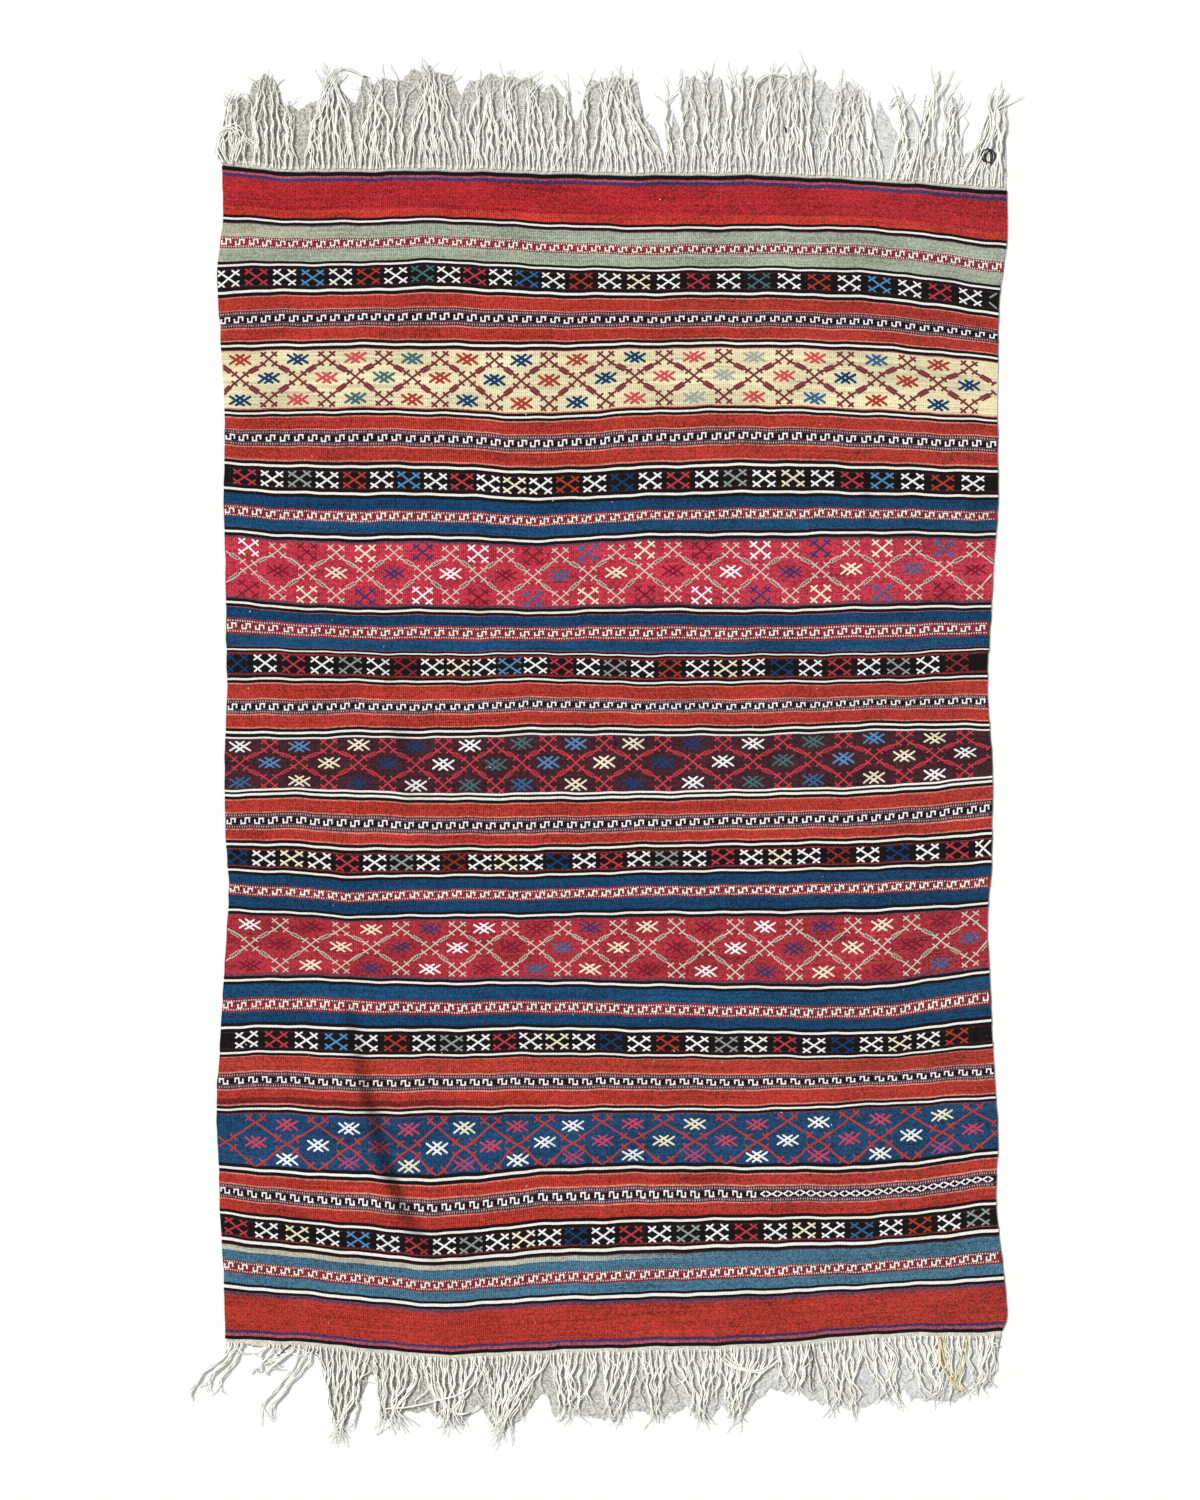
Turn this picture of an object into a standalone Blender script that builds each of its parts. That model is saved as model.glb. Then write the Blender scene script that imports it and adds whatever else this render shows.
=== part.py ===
"""Soumak rug: a flat-woven wool rug lying flat, with a warp fringe at both ends.

Metres, +Z up. The rug lies on Z = 0, its warps along Y and its wefts along X. The origin is
the middle of the whole rug's box, on the surface it lies on. Tables are in millimetres.
"""
from bisect import bisect_right
from math import pi, sin

import bmesh
import bpy
from mathutils import Vector

MM = 0.001

# Driving dimensions
FIRST_WEFT = 891 * MM          # place of the cloth's upper end, at the left selvedge
LAST_WEFT = -900 * MM          # place of its lower end
GROUND_THICKNESS = 2.4 * MM    # plain weft-faced cloth
BROCADE_RELIEF = 0.8 * MM      # how far a brocaded band stands proud of the ground
BAND_SLOPE = 1.5 * MM          # width of the slope along a brocaded band's border
COLUMN_PITCH = 48 * MM         # spacing of the mesh columns across the cloth
CREST_CLEARANCE = 10 * MM      # a column nearer than this to a ripple's crest is left out
PART_GAP = 0.3 * MM            # between the cloth and each fringe's heading strip
HEADING_WIDTH = 11 * MM
HEADING_THICKNESS = 2.0 * MM
HEADING_INSET = 2 * MM         # from a selvedge to the heading strip's end
LOCK_PITCH = 10.6 * MM         # spacing of the locks' roots
LOCK_ROOT_WIDTH = 4.4 * MM
LOCK_TIP_WIDTH = 1.6 * MM
LOCK_TIP_THICKNESS = 0.9 * MM
LOCK_CREST_SHARE = 0.45        # a lock's width on top, as a share of its width underneath
LOCK_BENDS = (0.32, 0.66)      # shares of its tuft's length where a lock may bend
LOCK_UNEVENNESS = 0.1          # share of its tuft's length by which a lock may end early
LOCK_STEP = 0.05               # share of its length over which a lock's direction is taken
SHARP_ANGLE = pi / 6           # edges with a steeper turn than this are drawn sharp

# Each woven line has slipped out of straight. A line's place is its height (Y) at the left
# selvedge, and its drops are how far it lies below that at each station across the rug.
STATIONS = (-563, -474, -382, -245, -92, 61, 245, 428, 589)
WOVEN_LINES = (
    # place, drops at the stations
    (888, (0, 8, 8, 7, 11, 14, 14, 23, 35)),
    (813, (0, 5, 5, 2, 10, 15, 14, 18, 37)),
    (699, (0, -3, -3, -7, 1, 3, 2, 9, 30)),
    (618, (0, -1, -3, -2, 0, -3, -4, 2, 17)),
    (515, (0, 0, -2, 0, 7, -2, -5, 2, 11)),
    (399, (0, 6, 8, 9, 16, 10, 5, 8, 12)),
    (333, (0, 7, 10, 9, 15, 6, 5, 2, 5)),
    (226, (0, 8, 13, 13, 16, 11, 13, 8, 6)),
    (131, (0, 0, 3, 6, 3, 8, 6, 5, -3)),
    (28, (0, 2, -1, 0, -5, -4, -4, -11, -11)),
    (-69, (0, -2, 1, 6, 5, 3, -1, -6, -20)),
    (-214, (0, 4, 11, 8, 8, 3, 1, -3, -10)),
    (-353, (0, -3, 0, 4, 3, 6, 10, 8, -14)),
    (-443, (0, -2, 3, 4, 1, 4, 6, 6, -11)),
    (-549, (0, 0, 5, 4, 2, 0, 0, -8, -17)),
    (-639, (0, 8, 12, 19, 5, 0, 1, -2, -21)),
    (-728, (0, 11, 20, 31, 18, 13, 8, 4, -13)),
    (-897, (0, 3, 11, 23, 17, 12, 7, -8, -11)),
)

# The selvedges wander: X of the left and the right one at each place down the rug.
SELVEDGES = (
    # place, left, right
    (888, -578, 622),
    (813, -576, 621),
    (734, -585, 611),
    (650, -581, 608),
    (515, -574, 607),
    (378, -575, 608),
    (297, -573, 602),
    (168, -571, 595),
    (86, -570, 592),
    (-31, -574, 599),
    (-156, -571, 599),
    (-206, -567, 597),
    (-272, -570, 592),
    (-350, -575, 595),
    (-459, -581, 600),
    (-552, -586, 605),
    (-633, -582, 608),
    (-703, -581, 605),
    (-807, -575, 616),
    (-882, -573, 622),
    (-897, -573, 616),
)

# Brocaded bands, by the places of their upper and lower borders.
BROCADED_BANDS = (
    # pattern, upper, lower
    ("meander", 785, 767),
    ("crosses", 734, 706),
    ("meander", 672, 642),
    ("lattice", 611, 521),
    ("meander", 492, 465),
    ("crosses", 432, 405),
    ("meander", 376, 357),
    ("lattice", 326, 234),
    ("meander", 202, 177),
    ("crosses", 150, 114),
    ("meander", 80, 53),
    ("lattice", 18, -61),
    ("meander", -94, -122),
    ("crosses", -153, -179),
    ("meander", -204, -222),
    ("lattice", -250, -345),
    ("meander", -379, -402),
    ("crosses", -430, -457),
    ("meander", -491, -520),
    ("lattice", -555, -630),
    ("meander", -661, -686),
    ("crosses", -714, -744),
    ("meander", -779, -798),
)

# Soft ripples in which the cloth stands a little off the surface.
RIPPLES = (
    # x, middle place, half length, half width, height
    (-388, -522, 150, 46, 4.0),
    (-251, -690, 130, 48, 5.0),
    (-312, 128, 110, 44, 3.0),
    (254, 352, 100, 46, 3.5),
    (20, -690, 90, 44, 3.0),
    (428, -330, 120, 48, 3.0),
    (-92, 400, 120, 46, 2.5),
)

# Tufts of the fringe, by X, and how far their tips lie past the heading strip. The sway
# bows a tuft sideways between its roots and its tips.
TOP_TUFTS = (
    # root_from, root_to, tip_from, tip_to, length, sway
    (-574, -537, -572, -543, 105, -8),
    (-534, -486, -533, -489, 141, 0),
    (-484, -460, -484, -475, 104, 0),
    (-452, -373, -421, -398, 145, 0),
    (-370, -319, -362, -313, 145, 0),
    (-300, -212, -297, -226, 154, 0),
    (-194, -153, -199, -158, 147, 0),
    (-148, -120, -150, -135, 148, 0),
    (-111, -80, -118, -92, 137, 0),
    (-74, -63, -79, -67, 133, 0),
    (-57, -46, -56, -48, 133, 0),
    (-29, 94, -25, 56, 145, 0),
    (103, 116, 98, 104, 150, 0),
    (119, 180, 119, 172, 153, 0),
    (190, 229, 187, 235, 153, 0),
    (234, 275, 242, 284, 154, 0),
    (279, 328, 293, 317, 165, 0),
    (332, 432, 338, 428, 141, 0),
    (440, 464, 446, 459, 130, 9),
    (473, 498, 506, 518, 160, 0),
    (514, 545, 532, 547, 142, 0),
    (554, 616, 593, 622, 142, 0),
)
BOTTOM_TUFTS = (
    # root_from, root_to, tip_from, tip_to, length, sway
    (-570, -543, -624, -582, 82, 0),
    (-513, -470, -524, -506, 44, 0),
    (-459, -440, -510, -496, 108, 0),
    (-424, -351, -408, -386, 136, 0),
    (-348, -276, -336, -306, 112, 0),
    (-272, -182, -256, -203, 106, 0),
    (-177, -78, -167, -138, 122, 0),
    (-73, -4, -66, -12, 98, 0),
    (0, 60, 7, 29, 104, 0),
    (63, 99, 78, 91, 107, 0),
    (103, 175, 145, 165, 108, 0),
    (180, 266, 194, 218, 113, 0),
    (270, 318, 281, 314, 73, 0),
    (324, 397, 339, 404, 110, 0),
    (401, 454, 434, 455, 98, 0),
    (459, 540, 491, 538, 95, 0),
    (545, 606, 549, 602, 89, 0),
)

# Finishes: linear base colour and roughness
WOOL_RED = (0.46, 0.045, 0.035)
WARP_CREAM = (0.72, 0.69, 0.60)


def read_curve(places, values, place):
    """Read a smooth curve through the values, carried on straight past both ends."""
    last = len(places) - 1
    inside = min(max(place, places[0]), places[last])
    lower = min(bisect_right(places, inside) - 1, last - 1)

    def slope(knot):
        before, after = max(knot - 1, 0), min(knot + 1, last)
        return (values[after] - values[before]) / (places[after] - places[before])

    span = places[lower + 1] - places[lower]
    t = (inside - places[lower]) / span
    value = (
        values[lower] * (1 + 2 * t) * (1 - t) ** 2
        + values[lower + 1] * t * t * (3 - 2 * t)
        + slope(lower) * span * t * (1 - t) ** 2
        - slope(lower + 1) * span * t * t * (1 - t)
    )
    return value + (place - inside) * slope(0 if place < inside else last)


def read_column(rows, column, place):
    """Read one column of a table whose rows run down the rug, by place."""
    upwards = rows[::-1]
    return read_curve([row[0] for row in upwards], [row[column] for row in upwards], place)


def cloth_point(place, share):
    """Where the weft at a place, and a share of the way across, lies on the surface."""
    left = read_column(SELVEDGES, 1, place / MM)
    right = read_column(SELVEDGES, 2, place / MM)
    x = left + (right - left) * share
    drops = [(line, read_curve(STATIONS, drop, x)) for line, drop in WOVEN_LINES]
    return x * MM, place - read_column(drops, 1, place / MM) * MM


def ripple_height(x, place):
    """How far the cloth stands off the surface."""
    height = 0.0
    for crest, middle, half_length, half_width, rise in RIPPLES:
        aside = (x / MM - crest) / half_width
        along = (place / MM - middle) / half_length
        if abs(aside) < 1 and abs(along) < 1:
            height += rise * MM * (1 - aside ** 2) ** 2 * (1 - along ** 2) ** 2
    return height


def cloth_rows():
    """Places of the mesh rows and the cloth's thickness at each, from the upper end down."""
    rows = [(FIRST_WEFT, GROUND_THICKNESS)]
    raised = GROUND_THICKNESS + BROCADE_RELIEF
    for _, upper, lower in BROCADED_BANDS:
        rows += [
            (upper * MM, GROUND_THICKNESS),
            (upper * MM - BAND_SLOPE, raised),
            (lower * MM + BAND_SLOPE, raised),
            (lower * MM, GROUND_THICKNESS),
        ]
    rows.append((LAST_WEFT, GROUND_THICKNESS))
    return rows


def cloth_columns():
    """Shares of the width where the mesh columns run, with one along each ripple's crest."""
    left, right = SELVEDGES[0][1] * MM, SELVEDGES[0][2] * MM
    crests = [ripple[0] * MM for ripple in RIPPLES]
    count = round((right - left) / COLUMN_PITCH)
    even = [left + (right - left) * i / count for i in range(count + 1)]
    kept = [x for x in even if all(abs(x - crest) > CREST_CLEARANCE for crest in crests)]
    return sorted((x - left) / (right - left) for x in kept + crests)


def link_mesh(name, bm, material, collection):
    """Make the object of a finished mesh, shaded smooth but for its borders."""
    bmesh.ops.recalc_face_normals(bm, faces=bm.faces)
    mesh = bpy.data.meshes.new(name)
    bm.to_mesh(mesh)
    bm.free()
    mesh.shade_smooth()
    mesh.set_sharp_from_angle(angle=SHARP_ANGLE)
    mesh.materials.append(material)
    obj = bpy.data.objects.new(name, mesh)
    collection.objects.link(obj)
    return obj


def make_grid(columns, rows):
    """A grid of faces, with its vertices listed by (column, row).

    Each vertex can hold the sheet's thickness there, and a mark for the sheet's outer edge.
    """
    bm = bmesh.new()
    bm.verts.layers.float.new("thickness")
    bm.verts.layers.int.new("outer_edge")
    bmesh.ops.create_grid(bm, x_segments=columns - 1, y_segments=rows - 1, size=0.5)
    index = {}
    for vert in bm.verts:
        column = round((vert.co.x + 0.5) * (columns - 1))
        row = round((vert.co.y + 0.5) * (rows - 1))
        index[column, row] = vert
    return bm, index


def build_cloth(material, collection):
    """The woven sheet, laid out as its underside and then thickened upwards."""
    rows, columns = cloth_rows(), cloth_columns()
    bm, index = make_grid(len(columns), len(rows))
    thickness = bm.verts.layers.float["thickness"]
    for (column, row), vert in index.items():
        place, vert[thickness] = rows[row]
        x, y = cloth_point(place, columns[column])
        vert.co = (x, y, ripple_height(x, place))
    thicken(bm)
    return link_mesh("ground_cloth", bm, material, collection)


def thicken(bm):
    """Close an open sheet by lifting a copy of it by each vertex's own thickness."""
    thickness = bm.verts.layers.float["thickness"]
    lifted = bmesh.ops.extrude_face_region(bm, geom=bm.faces[:])
    for vert in lifted["geom"]:
        if isinstance(vert, bmesh.types.BMVert):
            vert.co.z += vert[thickness]


def edge_height(place, x):
    """Y of the cloth's end at X, on the straight runs between the mesh columns."""
    ends = [cloth_point(place, share) for share in cloth_columns()]
    after = min(max(bisect_right([end[0] for end in ends], x), 1), len(ends) - 1)
    (x0, y0), (x1, y1) = ends[after - 1], ends[after]
    return y0 + (y1 - y0) * (x - x0) / (x1 - x0)


def lock_roots(tufts):
    """Each lock's root X, tip X, tuft length, sway and the share of that length it reaches."""
    locks = []
    for number, (root_from, root_to, tip_from, tip_to, length, sway) in enumerate(tufts):
        count = max(1, round((root_to - root_from) * MM / LOCK_PITCH))
        for i in range(count):
            share = (i + 0.5) / count
            reach = 1 - LOCK_UNEVENNESS * sin(2.3 * i + 1.7 * number) ** 2
            locks.append((
                (root_from + (root_to - root_from) * share) * MM,
                (tip_from + (tip_to - tip_from) * share) * MM,
                length * MM,
                sway * MM,
                reach,
            ))
    return locks


def lock_place(lock, root_y, outward, share):
    """Middle of a lock at a share of its tuft's length."""
    root, tip, length, sway, _ = lock
    ease = share * share * (3 - 2 * share)
    return Vector((root + (tip - root) * ease + sway * sin(pi * share),
                   root_y + outward * length * share, 0))


def grow_lock(bm, face, lock, root_y, outward):
    """Grow a lock from its root face on the heading strip, section by section."""
    roles = [(vert.co.x > lock[0], vert.co.z > 0) for vert in face.verts]
    for share in (*LOCK_BENDS, lock[-1]):
        ahead = lock_place(lock, root_y, outward, share)
        along = (ahead - lock_place(lock, root_y, outward, share - LOCK_STEP)).normalized()
        side = Vector((along.y, -along.x, 0)) * outward
        width = LOCK_ROOT_WIDTH + (LOCK_TIP_WIDTH - LOCK_ROOT_WIDTH) * share
        height = HEADING_THICKNESS + (LOCK_TIP_THICKNESS - HEADING_THICKNESS) * share
        face = bmesh.ops.extrude_discrete_faces(bm, faces=[face])["faces"][0]
        for vert, (on_right, on_top) in zip(face.verts, roles):
            half = width / 2 * (LOCK_CREST_SHARE if on_top else 1)
            vert.co = ahead + side * (half if on_right else -half)
            vert.co.z = height if on_top else 0


def build_fringe(name, place, outward, tufts, material, collection):
    """One end's heading strip, with the locks grown from its outer side."""
    left = cloth_point(place, 0)[0] + HEADING_INSET
    right = cloth_point(place, 1)[0] - HEADING_INSET
    locks = lock_roots(tufts)
    corners = [root + side * LOCK_ROOT_WIDTH / 2 for root, *_ in locks for side in (-1, 1)]
    bends = [cloth_point(place, share)[0] for share in cloth_columns()]
    free_bends = [
        x for x in bends
        if left < x < right and all(abs(x - root) > LOCK_ROOT_WIDTH for root, *_ in locks)
    ]
    stations = sorted([left, right] + corners + free_bends)
    bm, index = make_grid(len(stations), 2)
    thickness = bm.verts.layers.float["thickness"]
    outer_edge = bm.verts.layers.int["outer_edge"]
    for (column, row), vert in index.items():
        reach = PART_GAP + HEADING_WIDTH * row
        x = stations[column]
        vert.co = (x, edge_height(place, x) + outward * reach, 0)
        vert[thickness] = HEADING_THICKNESS
        vert[outer_edge] = row
    thicken(bm)
    outer_side = [face for face in bm.faces if all(vert[outer_edge] for vert in face.verts)]
    for lock in locks:
        root_y = edge_height(place, lock[0]) + outward * (PART_GAP + HEADING_WIDTH)
        face = min(outer_side, key=lambda side: abs(side.calc_center_median().x - lock[0]))
        outer_side.remove(face)
        grow_lock(bm, face, lock, root_y, outward)
    return link_mesh(name, bm, material, collection)


def make_material(name, colour, roughness):
    material = bpy.data.materials.new(name)
    material.use_nodes = True
    shader = material.node_tree.nodes["Principled BSDF"]
    shader.inputs["Base Color"].default_value = (*colour, 1)
    shader.inputs["Roughness"].default_value = roughness
    shader.inputs["Metallic"].default_value = 0
    return material


def centre_on_origin(parts):
    """Move every part so that the whole rug's box is centred on the origin."""
    points = [vert.co for part in parts for vert in part.data.vertices]
    shift = [-(min(p[axis] for p in points) + max(p[axis] for p in points)) / 2
             for axis in (0, 1)]
    for part in parts:
        for vert in part.data.vertices:
            vert.co.x += shift[0]
            vert.co.y += shift[1]


def main():
    for obj in list(bpy.data.objects):
        bpy.data.objects.remove(obj, do_unlink=True)
    collection = bpy.data.collections.new("soumak_rug")
    bpy.context.scene.collection.children.link(collection)
    wool = make_material("dyed_wool", WOOL_RED, 0.92)
    upper_warp = make_material("upper_warp_wool", WARP_CREAM, 0.9)
    lower_warp = make_material("lower_warp_wool", WARP_CREAM, 0.9)
    centre_on_origin([
        build_cloth(wool, collection),
        build_fringe("fringe_top", FIRST_WEFT, 1, TOP_TUFTS, upper_warp, collection),
        build_fringe("fringe_bottom", LAST_WEFT, -1, BOTTOM_TUFTS, lower_warp, collection),
    ])


main()
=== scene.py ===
"""Soumak rug, dressed: the woven cloth, its brocaded bands and the warp fringe at both ends.

The rug's own measures are millimetres: X across the rug, and place, which is a weft's height at
the left selvedge. Every weft has slipped out of straight, and lay() says where it really lies.
"""
from math import pi

import bpy
import numpy as np
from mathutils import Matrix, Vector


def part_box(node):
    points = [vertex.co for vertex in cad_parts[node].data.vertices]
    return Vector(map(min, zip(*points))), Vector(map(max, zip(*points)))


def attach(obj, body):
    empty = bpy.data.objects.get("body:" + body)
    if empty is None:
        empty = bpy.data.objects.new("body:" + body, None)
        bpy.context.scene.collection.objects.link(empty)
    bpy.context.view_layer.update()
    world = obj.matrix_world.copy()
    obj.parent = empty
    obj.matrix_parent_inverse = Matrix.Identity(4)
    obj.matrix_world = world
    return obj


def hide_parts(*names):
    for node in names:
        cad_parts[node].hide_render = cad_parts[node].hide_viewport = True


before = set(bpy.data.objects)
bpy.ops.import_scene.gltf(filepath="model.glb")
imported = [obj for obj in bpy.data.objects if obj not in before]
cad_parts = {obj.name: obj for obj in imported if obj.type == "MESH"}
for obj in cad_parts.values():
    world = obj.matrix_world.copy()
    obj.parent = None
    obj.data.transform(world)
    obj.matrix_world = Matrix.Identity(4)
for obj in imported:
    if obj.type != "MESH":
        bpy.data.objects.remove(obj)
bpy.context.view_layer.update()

MM = 0.001

# The cloth
FIRST_WEFT = 891.0
LAST_WEFT = -900.0
GROUND_THICKNESS = 2.4
BROCADE_RELIEF = 0.8
CLOTH_COLUMNS = 200            # steps of the cloth's mesh across the rug
CLOTH_ROW_STEP = 9.0           # longest step down a plain field
UNDERSIDE_STEP = 10            # the underside keeps one column in so many
UNDERSIDE_LIFT = 0.1           # its height over the floor
NIBBLES = 120                  # bends down each selvedge, and how far they go in or out
NIBBLE_SIZE = 0.5
SELVEDGE_ROLL = (2.0, -0.35)   # how wide the rolled rim of a selvedge is, and its lift

# Each woven line by its place, with how far it has dropped at each station across the rug.
STATIONS = (-563, -474, -382, -245, -92, 61, 245, 428, 589)
WOVEN_LINES = (
    # place, drops at the stations
    (888, (0, 8, 8, 7, 11, 14, 14, 23, 35)),
    (813, (0, 5, 5, 2, 10, 15, 14, 18, 37)),
    (699, (0, -3, -3, -7, 1, 3, 2, 9, 30)),
    (618, (0, -1, -3, -2, 0, -3, -4, 2, 17)),
    (515, (0, 0, -2, 0, 7, -2, -5, 2, 11)),
    (399, (0, 6, 8, 9, 16, 10, 5, 8, 12)),
    (333, (0, 7, 10, 9, 15, 6, 5, 2, 5)),
    (226, (0, 8, 13, 13, 16, 11, 13, 8, 6)),
    (131, (0, 0, 3, 6, 3, 8, 6, 5, -3)),
    (28, (0, 2, -1, 0, -5, -4, -4, -11, -11)),
    (-69, (0, -2, 1, 6, 5, 3, -1, -6, -20)),
    (-214, (0, 4, 11, 8, 8, 3, 1, -3, -10)),
    (-353, (0, -3, 0, 4, 3, 6, 10, 8, -14)),
    (-443, (0, -2, 3, 4, 1, 4, 6, 6, -11)),
    (-549, (0, 0, 5, 4, 2, 0, 0, -8, -17)),
    (-639, (0, 8, 12, 19, 5, 0, 1, -2, -21)),
    (-728, (0, 11, 20, 31, 18, 13, 8, 4, -13)),
    (-897, (0, 3, 11, 23, 17, 12, 7, -8, -11)),
)
SELVEDGES = (
    # place, left, right
    (888, -578, 622),
    (813, -576, 621),
    (734, -585, 611),
    (650, -581, 608),
    (515, -574, 607),
    (378, -575, 608),
    (297, -573, 602),
    (168, -571, 595),
    (86, -570, 592),
    (-31, -574, 599),
    (-156, -571, 599),
    (-206, -567, 597),
    (-272, -570, 592),
    (-350, -575, 595),
    (-459, -581, 600),
    (-552, -586, 605),
    (-633, -582, 608),
    (-703, -581, 605),
    (-807, -575, 616),
    (-882, -573, 622),
    (-897, -573, 616),
)
LEFT, RIGHT = 1, 2             # columns of the selvedges' table
RIPPLES = (
    # x, middle place, half length, half width, height, lean (x for each step down)
    (-382, -500, 230, 46, 4.0, 0.24),
    (-330, -680, 100, 44, 3.4, 0.45),
    (-240, -700, 110, 48, 2.0, 0.1),
    (-312, 128, 110, 44, 3.0, 0),
    (254, 352, 100, 46, 3.5, 0),
    (20, -690, 90, 44, 3.0, 0),
    (428, -330, 120, 48, 3.0, 0),
    (-92, 400, 120, 46, 2.5, 0),
    (-300, -20, 120, 40, 2.5, 0.2),
    (150, -600, 120, 46, 2.5, 0),
)
# Painted shade: soft dark lines along the warps, where the rug has lain folded and its creases fall in
# shade.
CREASE_SHADES = (
    # x, middle place, half length, half width, depth, lean (x for each step down)
    (-372, -450, 110, 18, 0.48, 0.22),
    (-346, -560, 100, 19, 0.58, 0.30),
    (-312, -655, 90, 21, 0.60, 0.45),
    (-268, -720, 60, 20, 0.40, 0.50),
    (-250, -690, 70, 12, 0.20, 0),
    (-322, 128, 60, 18, 0.28, 0.1),
    (-306, 20, 50, 22, 0.30, 0.4),
    (-292, -65, 60, 16, 0.16, 0.1),
    (-180, 230, 40, 16, 0.18, 0.3),
    (15, -660, 90, 10, 0.18, 0),
    (-18, -640, 100, 9, 0.14, 0),
    (408, 385, 70, 14, 0.30, 0.05),
    (580, 380, 60, 30, 0.22, 0),
    (530, 735, 30, 30, 0.20, 0.3),
    (96, 400, 90, 9, 0.12, 0),
    (22, 250, 160, 9, 0.10, 0),
    (466, -560, 90, 12, 0.14, 0),
)
DEEPEST_CREASE_SHADE = 0.66          # the most that the painted crease shade darkens the wool, where creases cross
# Small bends of the wefts on top of their slip.
WAVER = (
    # length across, length down, size
    (131, 610, 0.60),
    (67, -430, 0.45),
    (37, 290, 0.22),
)

# Yarn colours as they look in daylight, red, green and blue out of 255
DAYLIGHT = 0.80                # share of the light that makes an ivory yarn look so
YARNS = {
    # Fields
    "crimson": (176, 42, 48),
    "scarlet": (196, 59, 50),
    "madder": (176, 56, 46),
    "russet": (180, 62, 50),
    "claret": (116, 36, 36),
    "sage": (180, 180, 156),
    "lichen": (166, 175, 155),
    "navy": (20, 64, 102),
    "azure": (26, 74, 112),
    "pool": (74, 116, 140),
    "shell": (200, 198, 178),
    # Lines, guards, and the grounds of crosses and meanders
    "night": (20, 12, 14),
    "ivory": (252, 249, 240),
    "blush": (214, 186, 180),
    "rose": (214, 128, 114),
    "rosewood": (168, 84, 98),
    "maroon": (136, 50, 60),
    "oxblood": (140, 44, 44),
    "plum": (108, 66, 88),
    "violet": (78, 54, 100),
    "dusk": (78, 50, 58),
    # Grounds of the lattices
    "cream": (240, 228, 186),
    "cherry": (194, 56, 74),
    "umber": (68, 34, 42),
    "carmine": (170, 50, 60),
    "slate": (32, 70, 108),
    # Lines and bars of the lattices
    "wine": (124, 52, 58),
    "mulberry": (150, 70, 78),
    "straw": (220, 210, 192),
    "moss": (112, 84, 80),
    "coral": (206, 66, 78),
    "garnet": (150, 36, 48),
    "brick": (186, 64, 60),
    # Crosses, and figures in the lattices: reds, blues and green, greys, whites, pinks
    "R": (188, 60, 72),
    "P": (214, 84, 88),
    "O": (176, 62, 48),
    "K": (140, 44, 42),
    "M": (126, 28, 46),
    "L": (84, 144, 192),
    "B": (54, 104, 150),
    "D": (12, 62, 108),
    "V": (50, 56, 106),
    "T": (70, 112, 116),
    "G": (150, 160, 156),
    "A": (166, 178, 168),
    "C": (247, 240, 208),
    "W": (252, 253, 252),
    "Q": (176, 72, 116),
    "F": (208, 72, 98),
    # Heading and fringe
    "warp": (255, 254, 244),
    "heading": (238, 233, 219),
    "dark_warp": (34, 32, 46),
    "old_warp": (236, 222, 176),
    # Painted shade: the greys of the felt under the strands
    "shade_felt": (194, 190, 180),
    "pale_shade_felt": (228, 229, 227),
}

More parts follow.
